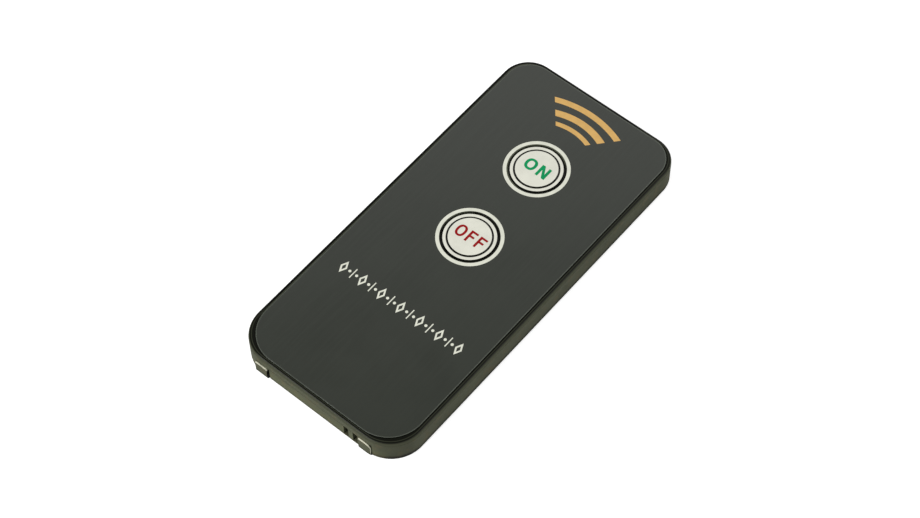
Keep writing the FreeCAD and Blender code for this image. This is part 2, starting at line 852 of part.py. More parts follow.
def build_circuit_board():
    """Board that fills the case, notched for the hooks and drilled for pegs and leads."""
    body = new_body("circuit_board")
    outline = new_sketch(body, "board_outline", offset=board_base)
    draw_case_outline(outline, plus(s("wall_thickness"), s("board_gap")))
    add_pad(body, "board_sheet", outline, s("board_thickness"))
    notches = new_sketch(body, "board_notch_outline", offset=board_top)
    for line in hook_lines():
        for sign in (1, -1):
            inner = minus(hook_face(), s("hook_thickness"), s("hook_board_gap"))
            draw_rectangle(notches, *signed_range(sign, inner, side), *hook_span(line, s("hook_board_gap")))
    add_pocket(body, "hook_notches", notches, s("board_thickness"))
    holes = new_sketch(body, "board_hole_outline", offset=board_top)
    for x in (s("post_side"), negative(s("post_side"))):
        peg_hole = plus(half(s("peg_diameter")), s("peg_gap"))
        draw_circle(holes, x, minus(head, s("post_from_head")), peg_hole)
    for x in (half(s("led_lead_pitch")), negative(half(s("led_lead_pitch")))):
        draw_circle(holes, x, plus(lead_line, half(s("led_lead_width"))), s("lead_hole_radius"))
    add_pocket(body, "board_holes", holes, s("board_thickness"))
    return body


def build_led():
    """Infrared diode: round-nosed lens along Y, with a flange at its back."""
    body = new_body("ir_led")
    radius = half(s("led_diameter"))
    flange = half(s("led_flange_diameter"))
    nose_start = minus(s("led_length"), radius)
    add_turned(body, "led_lens", [
        ("0", "0"),
        (flange, "0"),
        (flange, s("led_flange_thickness")),
        (radius, s("led_flange_thickness")),
        (radius, s("led_length")),
        ("0", s("led_length")),
    ])
    length = number(s("led_length"))
    add_fillet(body, "led_nose", lambda box: level(box, length), minus(radius, s("led_nose_flat")))
    body.Placement.Rotation = FreeCAD.Rotation(FreeCAD.Vector(1, 0, 0), -90)
    place(body, y=led_back, z=led_height)
    return body


def build_led_leads():
    """Two square leads that run back from the diode and up through the board."""
    width = s("led_lead_width")
    leads = []
    for name, middle in (("left", negative(half(s("led_lead_pitch")))), ("right", half(s("led_lead_pitch")))):
        x = minus(middle, half(width))
        z = minus(led_height, half(width))
        run = new_box(f"lead_run_{name}", x, lead_line, z, width, s("led_lead_run"), width)
        rise_height = plus(minus(board_top, z), s("lead_stand_out"))
        rise = new_box(f"lead_rise_{name}", x, lead_line, z, width, width, rise_height)
        leads.append(new_fuse(f"lead_{name}", [run, rise]))
    return new_group("ir_led_leads", leads)


def round_pad_foot(body, name):
    """Round the lower edge of the face of a pad that stands out of the foot wall."""
    lowest = number(s("front_lift"))
    wall = number(foot)

    def lower_face_edge(box):
        return level(box, lowest) and box.XLength > 1e-4 and box.YMin < wall - 1e-4

    add_fillet(body, name, lower_face_edge, s("pad_edge_radius"))


def add_end_pad(body, left, right):
    """Raised pad whose face runs parallel to the case round its corner."""
    past = s("cut_past_face")
    block = new_sketch(body, "end_pad_outline", offset=s("front_lift"))
    draw_rectangle(block, left, right, minus(pad_face, past), front_back)
    add_pad(body, "end_pad_block", block, minus(cell_top, s("front_lift")))
    rest = new_sketch(body, "end_pad_face_outline", offset=cell_top)
    draw_case_outline(rest, negative(s("end_pad_proud")))
    reach = plus(side, past, past)
    draw_rectangle(rest, negative(reach), reach, minus(pad_face, past, past), plus(head, past, past))
    add_pocket(body, "end_pad_face", rest, cell_top)
    round_pad_foot(body, "end_pad_round")


def build_tray():
    """Slide-out tray: round cell seat, front that fills the port, end pad, grooves, arm root."""
    body = new_body("battery_tray")
    plate = new_sketch(body, "tray_plate_outline", offset=tray_base)
    draw_rectangle(plate, tray_left, tray_right, front_back, tray_end)
    add_pad(body, "tray_plate", plate, minus(tray_rim, tray_base))
    seat = new_sketch(body, "cell_seat_outline", offset=tray_rim)
    draw_circle(seat, s("cell_offset"), cell_middle, cell_seat_radius)
    add_pocket(body, "cell_seat", seat, minus(tray_rim, tray_base, s("tray_floor")))
    window = new_sketch(body, "tray_window_outline", offset=plus(tray_base, s("tray_floor")))
    draw_circle(window, s("cell_offset"), cell_middle, minus(s("tray_grip"), s("tray_window_border")))
    add_pocket(body, "tray_window", window, s("tray_floor"))

    end_pad_left = minus(front_right, s("end_pad_width"))
    front = new_sketch(body, "tray_front_profile", "YZ_Plane", front_left)
    draw_front_profile(front, foot, front_back, s("front_lift"), cell_top, s("front_edge_radius"))
    add_pad(body, "tray_front", front, minus(end_pad_left, front_left))
    add_end_pad(body, end_pad_left, front_right)

    root = new_sketch(body, "arm_root_outline", offset=tray_base)
    draw_rectangle(root, root_left, tray_left, minus(pivot_line, s("latch_pivot_radius")), tray_end)
    add_pad(body, "arm_root", root, minus(tray_rim, tray_base))
    socket = new_sketch(body, "arm_socket_outline", offset=tray_rim)
    draw_circle(socket, arm_middle, pivot_line, plus(s("latch_pivot_radius"), s("latch_pivot_gap")))
    add_pocket(body, "arm_socket", socket, minus(tray_rim, tray_base))
    mouth = new_sketch(body, "arm_mouth_outline", offset=tray_rim)
    mouth_half = plus(half(s("latch_arm_thickness")), s("latch_pivot_gap"), s("latch_pivot_gap"))
    draw_rectangle(mouth, minus(arm_middle, mouth_half), plus(arm_middle, mouth_half),
                   minus(pivot_line, s("latch_pivot_radius"), s("cut_past_face")), pivot_line)
    add_pocket(body, "arm_mouth", mouth, minus(tray_rim, tray_base))

    cut_nail_recess(body, plus(s("front_lift"), s("nail_recess_depth")))
    grooves = new_sketch(body, "grip_groove_outline", offset=cell_top)
    groove_right = minus(end_pad_left, s("grip_groove_space"))
    for shift in ("0", s("grip_groove_pitch")):
        right = minus(groove_right, shift)
        draw_rectangle(grooves, minus(right, s("grip_groove_width")), right,
                       minus(pad_face, s("cut_past_face")), plus(foot, s("grip_groove_depth")))
    add_pocket(body, "grip_grooves", grooves, s("grip_groove_length"))

    corner_x = number(front_right)
    corner_z = number(cell_top)

    def top_corner(box):
        along = near(box.XMin, corner_x) and near(box.XMax, corner_x)
        return along and level(box, corner_z)

    add_fillet(body, "end_pad_corner", top_corner, s("front_corner_radius"))
    return body


def build_latch():
    """Sprung arm left of the tray: end pad in the port, thin arm, catch and pivot."""
    body = new_body("tray_latch")
    arm_base = plus(tray_base, s("latch_pivot_gap"))
    arm_top = minus(tray_rim, s("latch_pivot_gap"))
    pad = new_sketch(body, "latch_pad_outline", offset=s("front_lift"))
    draw_rectangle(pad, pad_left, slit_left, pad_face, front_back)
    add_pad(body, "latch_pad", pad, minus(latch_top, s("front_lift")))
    round_pad_foot(body, "latch_pad_round")
    arm = new_sketch(body, "latch_arm_outline", offset=arm_base)
    draw_rectangle(arm, arm_left, arm_right, front_back, pivot_line)
    add_pad(body, "latch_arm", arm, minus(arm_top, arm_base))
    pivot = new_sketch(body, "latch_pivot_outline", offset=arm_base)
    draw_circle(pivot, arm_middle, pivot_line, s("latch_pivot_radius"))
    add_pad(body, "latch_pivot", pivot, minus(arm_top, arm_base))
    catch = new_sketch(body, "latch_catch_outline", offset=arm_base)
    start = plus(front_back, s("latch_catch_setback"))
    stop = plus(start, s("latch_catch_length"))
    tip = plus(guide_left, s("latch_catch_gap"))
    draw_polygon(catch, [
        (arm_middle, start),
        (arm_middle, stop),
        (arm_left, stop),
        (tip, plus(start, half(s("latch_catch_length")))),
        (tip, start),
    ])
    add_pad(body, "latch_catch", catch, minus(arm_top, arm_base))

    top = number(latch_top)
    right = number(slit_left)

    def slit_corner(box):
        return near(box.XMin, right) and near(box.XMax, right) and level(box, top)

    add_chamfer(body, "pad_slit_bevel", slit_corner, s("latch_pad_chamfer"))
    return body


def build_cell():
    """Coin cell: can, cap, seal and the pellet inside."""
    radius = half(s("cell_diameter"))
    metal = s("cell_metal")
    cap = minus(radius, s("cell_cap_inset"))
    seal_outer = plus(cap, s("cell_seal_width"))
    can_top = minus(cell_top, s("cell_cap_rise"))
    can_floor = plus(cell_base, metal)
    can_lip = minus(can_top, metal)
    cap_under = minus(cell_top, metal)
    can = new_body("cell_can")
    add_turned(can, "can_cup", [
        ("0", cell_base),
        (radius, cell_base),
        (radius, can_top),
        (seal_outer, can_top),
        (seal_outer, can_lip),
        (minus(radius, metal), can_lip),
        (minus(radius, metal), can_floor),
        ("0", can_floor),
    ])
    low = number(cell_base)
    high = number(can_top)
    reach = number(radius)

    def rim(box):
        outermost = near(box.XMax, reach)
        return outermost and (level(box, low) or level(box, high))

    add_fillet(can, "can_rounds", rim, s("cell_edge_radius"))
    lid = new_body("cell_cap")
    skirt_low = plus(can_floor, metal)
    add_turned(lid, "cap_dish", [
        ("0", cap_under),
        (minus(cap, metal), cap_under),
        (minus(cap, metal), skirt_low),
        (cap, skirt_low),
        (cap, cell_top),
        ("0", cell_top),
    ])
    top = number(cell_top)
    add_fillet(lid, "cap_round", lambda box: level(box, top), s("cell_cap_edge_radius"))
    seal = new_body("cell_seal")
    add_turned(seal, "seal_ring", [
        (minus(cap, metal), can_floor),
        (minus(radius, metal), can_floor),
        (minus(radius, metal), can_lip),
        (seal_outer, can_lip),
        (seal_outer, can_top),
        (cap, can_top),
        (cap, skirt_low),
        (minus(cap, metal), skirt_low),
    ])
    pellet = new_body("cell_pellet")
    add_turned(pellet, "pellet_disc", [
        ("0", can_floor),
        (minus(cap, metal), can_floor),
        (minus(cap, metal), cap_under),
        ("0", cap_under),
    ])
    for item in (can, lid, seal, pellet):
        place(item, x=s("cell_offset"), y=cell_middle)
    return [can, lid, seal, pellet]


def build_negative_contact():
    """Leaf spring that reaches from the board over the cell's cap."""
    body = new_body("negative_contact")
    metal = s("contact_metal")
    foot_start = minus(stop_line, s("contact_foot_length"))
    touch = minus(foot_start, s("negative_reach"))
    low = plus(cell_top, s("contact_touch_gap"))
    flat_base = minus(board_base, metal)
    tip = minus(touch, s("negative_tip"))
    sketch = new_sketch(body, "negative_profile", "YZ_Plane",
                        minus(s("cell_offset"), half(s("contact_width"))))
    draw_polygon(sketch, [
        (stop_line, flat_base),
        (stop_line, board_base),
        (foot_start, board_base),
        (plus(touch, half(metal)), plus(low, metal)),
        (tip, board_base),
        (minus(tip, metal), minus(board_base, half(metal))),
        (touch, low),
        (foot_start, flat_base),
    ])
    add_pad(body, "negative_leaf", sketch, s("contact_width"))
    return body


def build_positive_contact():
    """Spring that drops from the board and bows out to the side of the can."""
    body = new_body("positive_contact")
    metal = s("contact_metal")
    touch = plus(cell_end, s("contact_touch_gap"))
    back = plus(touch, s("positive_bow"))
    low = minus(board_base, s("positive_drop"))
    middle = half(plus(board_base, low))
    side_shift = plus(s("cell_offset"), s("contact_width"))
    sketch = new_sketch(body, "positive_profile", "YZ_Plane", side_shift)
    draw_polygon(sketch, [
        (back, board_base),
        (back, minus(board_base, metal)),
        (touch, middle),
        (back, low),
        (plus(back, metal), low),
        (plus(touch, metal), middle),
        (plus(back, metal), minus(board_base, metal)),
        (plus(back, half(s("contact_foot_length"))), minus(board_base, metal)),
        (plus(back, half(s("contact_foot_length"))), board_base),
    ])
    add_pad(body, "positive_leaf", sketch, s("contact_width"))
    return body


def build_chip():
    """Controller chip hung under the board, with gull-wing pins along both sides."""
    chip = new_body("controller_chip")
    chip_line = minus(on_key_line, s("chip_below_on_key"))
    width_half = half(s("chip_width"))
    length_half = half(s("chip_length"))
    chip_high = minus(board_base, s("chip_stand_off"))
    outline = new_sketch(chip, "chip_outline", offset=minus(chip_high, s("chip_height")))
    draw_rectangle(outline, negative(width_half), width_half, negative(length_half), length_half)
    add_pad(chip, "chip_block", outline, s("chip_height"))
    add_chamfer(chip, "chip_bevels", lambda box: box.ZLength > 1e-3, s("chip_bevel"))
    place(chip, x=s("chip_side"), y=chip_line)

    pins = new_body("controller_pins")
    metal = s("chip_pin_metal")
    row_length = times(s("chip_pin_pitch"), str(CHIP_PINS_PER_SIDE - 1))
    profile = new_sketch(pins, "pin_profile", "XZ_Plane", half(minus(row_length, s("chip_pin_width"))))
    exit_low = minus(chip_high, half(plus(s("chip_height"), metal)))
    reach = plus(width_half, s("chip_pin_reach"))
    knee = minus(reach, s("chip_pin_foot"))
    right_pin = [
        (width_half, exit_low),
        (knee, exit_low),
        (knee, minus(board_base, metal)),
        (reach, minus(board_base, metal)),
        (reach, board_base),
        (minus(knee, metal), board_base),
        (minus(knee, metal), plus(exit_low, metal)),
        (width_half, plus(exit_low, metal)),
    ]
    draw_polygon(profile, right_pin)
    draw_polygon(profile, [(negative(x), z) for x, z in reversed(right_pin)])
    pin_pair = add_pad(pins, "first_pins", profile, s("chip_pin_width"))
    row = pins.newObject("PartDesign::LinearPattern", "pin_rows")
    row.Originals = [pin_pair]
    row.Direction = (origin_feature(pins, "Y_Axis"), [""])
    row.setExpression("Length", row_length)
    row.Occurrences = CHIP_PINS_PER_SIDE
    settle(pins, row)
    place(pins, x=s("chip_side"), y=chip_line)
    return [chip, pins]


def build_block(name, prefix, x, y):
    """Rectangular component seated against the underside of the board."""
    length, width, height = (s(f"{prefix}_{key}") for key in ("length", "width", "height"))
    block = new_box(
        f"{name}_body",
        minus(x, half(length)),
        minus(y, half(width)),
        minus(board_base, height),
        length,
        width,
        height,
    )
    return block, length, width, height


def build_bevelled_block(name, prefix, y):
    """Moulded component with bevelled lower edges."""
    x = s(f"{prefix}_side")
    block, length, width, height = build_block(name, prefix, x, y)
    low = number(minus(board_base, height))
    bevel = number(s(f"{prefix}_bevel"))
    bevelled = doc.addObject("Part::Chamfer", name)
    bevelled.Base = block
    lower = [i for i, e in enumerate(block.Shape.Edges, start=1) if level(e.BoundBox, low)]
    bevelled.Edges = [(index, bevel, bevel) for index in lower]
    bevelled.Label = name
    doc.recompute()
    return bevelled


def build_resistor(name, x, y):
    """Chip resistor with a slightly larger metal cap at each end."""
    block, length, width, height = build_block(name, "resistor", x, y)
    lip = s("resistor_cap_lip")
    cap_length = s("resistor_cap_length")
    left_start = minus(x, half(length))
    right_start = minus(plus(x, half(length)), cap_length)
    caps = []
    for end, start in (("left", left_start), ("right", right_start)):
        caps.append(new_box(
            f"{name}_{end}_cap",
            start,
            minus(y, half(width), lip),
            minus(board_base, height, lip),
            cap_length,
            plus(width, lip, lip),
            plus(height, lip),
        ))
    return new_fuse(name, [block, *caps])


def build_transistor():
    """Three-legged transistor that drives the diode."""
    x = s("transistor_side")
    y = plus(on_key_line, s("transistor_above_on_key"))
    block, length, width, height = build_block("led_transistor", "transistor", x, y)
    leg = s("transistor_leg")
    leg_width = s("transistor_leg_width")
    metal = s("contact_metal")
    leg_shift = half(s("transistor_leg_pitch"))
    spots = (
        ("left", minus(x, leg_shift), minus(y, half(width), leg)),
        ("right", plus(x, leg_shift), minus(y, half(width), leg)),
        ("middle", x, plus(y, half(width))),
    )
    legs = []
    for spot, leg_x, leg_y in spots:
        legs.append(new_box(f"leg_{spot}", minus(leg_x, half(leg_width)), leg_y,
                            minus(board_base, metal), leg_width, leg, metal))
    return new_fuse("led_transistor", [block, *legs])


def build_model():
    """Every sub-part, in the order in which the remote goes together."""
    parts = [build_rear_shell(), build_top_frame()]
    parts.append(build_label_sheet("label_adhesive", deck_top, s("adhesive_thickness"),
                                   s("adhesive_inset"), s("adhesive_inset")))
    parts.append(build_label_sheet("faceplate_label", label_base, s("label_thickness"), "0", "0"))
    for name, line in (("on_key", on_key_line), ("off_key", off_key_line)):
        parts.append(build_key(name, line))
        parts.append(build_dome(f"{name}_dome", line))
        parts.append(build_sticker(f"{name}_dome_sticker", line))
    parts.append(build_circuit_board())
    parts += [build_led(), build_led_leads()]
    parts += build_chip()
    parts.append(build_bevelled_block("clock_resonator", "resonator",
                                      minus(on_key_line, s("resonator_below_on_key"))))
    parts.append(build_bevelled_block("filter_capacitor", "capacitor",
                                      minus(off_key_line, s("capacitor_below_off_key"))))
    parts.append(build_transistor())
    parts.append(build_resistor("led_resistor", s("led_resistor_side"),
                                plus(on_key_line, s("led_resistor_above_on_key"))))
    parts.append(build_resistor("pull_up_resistor", s("pull_up_side"),
                                plus(off_key_line, s("pull_up_above_off_key"))))
    parts += [build_negative_contact(), build_positive_contact()]
    parts += build_cell()
    parts += [build_tray(), build_latch()]
    return parts


def check_and_write(parts):
    """Stop on a failed feature or a bad solid, then write one file for each sub-part."""
    doc.recompute()
    for item in doc.Objects:
        if "Invalid" in item.State or "Error" in item.State:
            raise RuntimeError(f"{item.Name} failed: {item.State}")
    for part in parts:
        if part.Shape.isNull() or not part.Shape.isValid() or not part.Shape.Solids:
            raise RuntimeError(f"{part.Label} has no valid solid")
    os.makedirs("parts", exist_ok=True)
    for part in parts:
        part.Shape.exportStep(f"parts/{part.Label}.step")
        box = part.Shape.optimalBoundingBox(False)
        print(f"{part.Label:24} {len(part.Shape.Solids)} {part.Shape.Volume:9.3f} mm3",
              f"x {box.XMin:.2f} {box.XMax:.2f}",
              f"y {box.YMin:.2f} {box.YMax:.2f}",
              f"z {box.ZMin:.2f} {box.ZMax:.2f}")


check_and_write(build_model())
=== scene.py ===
"""Looks of the slim two-key infrared remote control: finishes, printed marks, light and camera.

Metres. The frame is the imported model's: +X right as the face is read, +Y towards the head,
+Z up out of the face, with the origin under the middle of the footprint.
"""

import json
import math

import bmesh
import bpy
from mathutils import Matrix, Vector


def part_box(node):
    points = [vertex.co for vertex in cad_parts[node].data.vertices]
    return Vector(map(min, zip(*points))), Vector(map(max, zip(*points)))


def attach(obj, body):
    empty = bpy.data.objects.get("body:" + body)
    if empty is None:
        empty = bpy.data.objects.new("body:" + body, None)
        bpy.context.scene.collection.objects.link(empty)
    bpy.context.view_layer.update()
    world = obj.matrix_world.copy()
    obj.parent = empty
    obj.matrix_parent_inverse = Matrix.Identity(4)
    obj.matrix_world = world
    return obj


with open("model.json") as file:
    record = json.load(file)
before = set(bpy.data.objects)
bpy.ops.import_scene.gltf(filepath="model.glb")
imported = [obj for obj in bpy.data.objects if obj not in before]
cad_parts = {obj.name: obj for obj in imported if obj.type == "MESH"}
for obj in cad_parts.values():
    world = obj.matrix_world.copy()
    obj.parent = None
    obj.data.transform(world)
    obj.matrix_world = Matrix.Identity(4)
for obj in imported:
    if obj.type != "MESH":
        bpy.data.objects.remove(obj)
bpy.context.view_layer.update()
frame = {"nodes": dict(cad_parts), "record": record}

MM = 0.001
nodes = frame["nodes"]
record = frame["record"]
base_colors = {entry["slot"]: entry["base_color"][:3] for entry in record["materials"]}

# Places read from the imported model
LABEL_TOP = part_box("faceplate_label")[1].z
on_low, on_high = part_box("on_key")
off_low, off_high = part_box("off_key")
KEY_TOP = on_high.z
ON_CENTRE = ((on_low + on_high) / 2).xy
OFF_CENTRE = ((off_low + off_high) / 2).xy
cell_low, cell_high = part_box("cell_can")
CELL_CENTRE = (cell_low + cell_high) / 2
case_low, case_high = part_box("rear_shell")
CASE_CENTRE = (case_low + case_high) / 2
CASE_HALF = (case_high - case_low) / 2
FOOT_WALL = case_low.y

# Slit between the latch and the tray, whose side faces take painted shade that reaches just past them
SLIT_HALF = 0.225 * MM
SLIT_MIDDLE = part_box("tray_latch")[1].x + SLIT_HALF
SLIT_SHADE_DEPTH = 0.9
SLIT_SHADE_REACH = 0.02 * MM

# Tones of the case walls: the heights where the painted shade low on the walls and the painted bounce
# light low on the foot wall start and are full, and their strength
LOW_SHADE_TOP = 2.0 * MM
LOW_SHADE_FULL = 1.0 * MM
LOW_SHADE_ON_FOOT = 0.25
LOW_SHADE_ON_SIDES = 0.65
CORNER_SHADE = 0.2
BOUNCE_TOP = 4.8 * MM
BOUNCE_FULL = 1.5 * MM
BOUNCE_GAIN = (1.34, 1.33, 1.22, 1.0)
# Gains on the case's olive tone down the frame's sides, darker on the foot side and corner as painted
# shade
OLIVE_SHADED_FOOT = 0.7
OLIVE_SHADED_CORNER = 0.75
OLIVE_ON_SIDES = 0.95

# Pads on the foot wall: how far out their ledges start and their fronts lie, and the painted highlight
# on their ledges
LEDGE_START = 0.01 * MM
LEDGE_FULL = 0.03 * MM
PAD_START = 0.05 * MM
PAD_FRONT = 0.25 * MM
LEDGE_LOW = 1.0 * MM
LEDGE_HIGH = 1.8 * MM
LEDGE_HIGHLIGHT_COLOR = (0.86, 0.85, 0.68, 1.0)

# Rim of the black frame, where a highlight is painted on a ridge line and its inner flank, and shade
# on the sides away from the light
HEAD_CORNER = 6.0 * MM
FOOT_CORNER = 7.3 * MM
RIDGE_INSET = 0.62 * MM
RIDGE_HALF_WIDTH = 0.12 * MM
RIDGE_HIGHLIGHT_GAIN = 3.0
FLANK_HIGHLIGHT_GAIN = 6.5
RIM_HEAD_SHARE = 0.8
RIM_TURN = (-0.38, -0.25)

# Printed marks
INK_THICKNESS = 0.012 * MM
KEYHOLE_RADIUS = 5.6 * MM
RING_INNER = 5.88 * MM
RING_OUTER = 6.61 * MM
KEY_PRINT_DEPTH = 0.17 * MM
KEY_PRINT_FADE = 0.03 * MM
# Inner and outer radius of each band, and how far its centre lies below the upper key's
WAVE_BANDS = {
    "signal_band_outer": (20.17 * MM, 21.42 * MM, 4.0 * MM),
    "signal_band_middle": (13.27 * MM, 14.72 * MM, 0.0),
    "signal_band_inner": (11.03 * MM, 12.0 * MM, 0.0),
}
WAVE_FAN_APEX = 6.07 * MM
WAVE_FAN_ANGLE = math.radians(40.6)
WAVE_FAN_AXIS = math.radians(89.4)

# Legends on the keys
LETTER_HEIGHT = 2.76 * MM
ON_LETTERS = (("O", 2.52 * MM), ("N", 2.22 * MM))
ON_LETTER_GAP = 0.66 * MM
ON_STROKE = 0.6 * MM
ON_SHIFT = Vector((-0.04, 0.12)) * MM
OFF_LETTERS = (("O", 2.13 * MM), ("F", 1.65 * MM), ("F", 1.68 * MM))
OFF_LETTER_GAP = 0.58 * MM
OFF_STROKE = 0.5 * MM
OFF_SHIFT = Vector((0.12, 0.04)) * MM
BAR_TO_STROKE = 0.88
CROSSBAR_PLACE = 0.525
CROSSBAR_REACH = 0.87
SLANT_WIDTH = 1.12
SLANT_NOTCH = 1.55
O_ROUNDNESS = 2.25

# Ornament below the lower key
ORNAMENT_LINE = -18.25 * MM
ORNAMENT_LEFT = -14.8 * MM
ORNAMENT_RIGHT = 14.9 * MM
ORNAMENT_HEIGHT = 3.0 * MM
ORNAMENT_DIAMONDS = 7
ORNAMENT_DIAMOND_WIDTH = 1.5 * MM
ORNAMENT_HOLLOW = 0.5
ORNAMENT_BAR_WIDTH = 0.22 * MM
ORNAMENT_BAR_LENGTH = 0.8
ORNAMENT_DOT_RADIUS = 0.3 * MM
ORNAMENT_DOT_OFFSET = 0.18

# Points round a loop and round a dot, and the pitch of the board's tracks
LOOP_STEPS = 96
DOT_STEPS = 24
TRACK_PITCH = 3.2 * MM

# Camera, as fitted to the photograph
CAMERA_PLACE = Vector((150.13, -175.17, 365.81)) * MM
CAMERA_RIGHT = Vector((0.76752, 0.64095, -0.00976))
CAMERA_DOWN = Vector((0.5378, -0.65213, -0.53431))
CAMERA_FORWARD = Vector((-0.34883, 0.40485, -0.84523))
CAMERA_LENS = 87.97
CAMERA_SENSOR = 36.0
CAMERA_NEAR = 0.01
CAMERA_FAR = 10.0

# Studio: what each kind of ray adds, and how bright mirror rays find the sky by height and side
FLOOR_HALF = 1.5
FLOOR_DROP = 0.02 * MM
FLOOR_SHADE = 0.86
FLOOR_GLOW = (("Is Camera Ray", 0.6), ("Is Glossy Ray", 0.14), ("Is Transmission Ray", 0.14))
SKY_LIGHT = (("Is Camera Ray", 1.0), ("Is Diffuse Ray", 0.53), ("Is Transmission Ray", 1.0))
MIRROR_SKY = (0.78, 0.9, 0.9, 0.0)
MIRROR_SIDE = (-0.38, -0.24, 0.0, 1.0)
MIRROR_SIDE_AXIS = (0.8, 0.45, 0.0)
# Place, side length and power of each soft light
SOFTBOXES = {
    "key_softbox": (Vector((-0.25, -0.8, 0.5)), 0.7, 7.5),
    "fill_softbox": (Vector((0.55, 0.35, 0.6)), 0.6, 1.4),
}

WHITE = (1.0, 1.0, 1.0, 1.0)
BLACK = (0.0, 0.0, 0.0, 1.0)
DUST_COLOR = (0.55, 0.55, 0.5, 1.0)


class Nodes:
    """Node tree of a material or a world, with short calls for its nodes."""

    def __init__(self, tree):
        self.tree = tree

    def add(self, kind, **settings):
        """New node of a kind, with its settings."""
        node = self.tree.nodes.new("ShaderNode" + kind)
        for key, value in settings.items():
            setattr(node, key, value)
        return node

    def feed(self, socket, value):
        """Link a socket, or set its own value."""
        if isinstance(value, bpy.types.NodeSocket):
            self.tree.links.new(value, socket)
        else:
            socket.default_value = value

    def math(self, operation, first, second=0.0, third=0.0):
        """Result of a sum on one or more values."""
        node = self.add("Math", operation=operation)
        for socket, value in zip(node.inputs, (first, second, third)):
            self.feed(socket, value)
        return node.outputs[0]

    def inverse(self, mask):
        """1 where a mask is 0, and 0 where it is 1."""
        return self.math("SUBTRACT", 1.0, mask)

    def length(self, x, y):
        """Length of a line with these two sides."""
        return self.math("SQRT", self.math("MULTIPLY_ADD", x, x, self.math("MULTIPLY", y, y)))

    def dot(self, first, second):
        """How far two directions agree."""
        node = self.add("VectorMath", operation="DOT_PRODUCT")
        self.feed(node.inputs[0], first)
        self.feed(node.inputs[1], second)
        return node.outputs["Value"]

    def parts(self, vector):
        """X, Y and Z of a vector, as sockets by name."""
        node = self.add("SeparateXYZ")
        self.feed(node.inputs[0], vector)
        return node.outputs

    def ramp(self, value, low, high, bottom=0.0, top=1.0):
        """Value carried smoothly from one range into another."""
        node = self.add("MapRange", interpolation_type="SMOOTHSTEP")
        for socket, entry in zip(node.inputs, (value, low, high, bottom, top)):
            self.feed(socket, entry)
        return node.outputs[0]

    def rays(self, shares):
        """Sum of the shares of the kinds of ray that arrive."""
        path = self.add("LightPath")
        total = 0.0
        for ray, share in shares:
            total = self.math("MULTIPLY_ADD", path.outputs[ray], share, total)
        return total


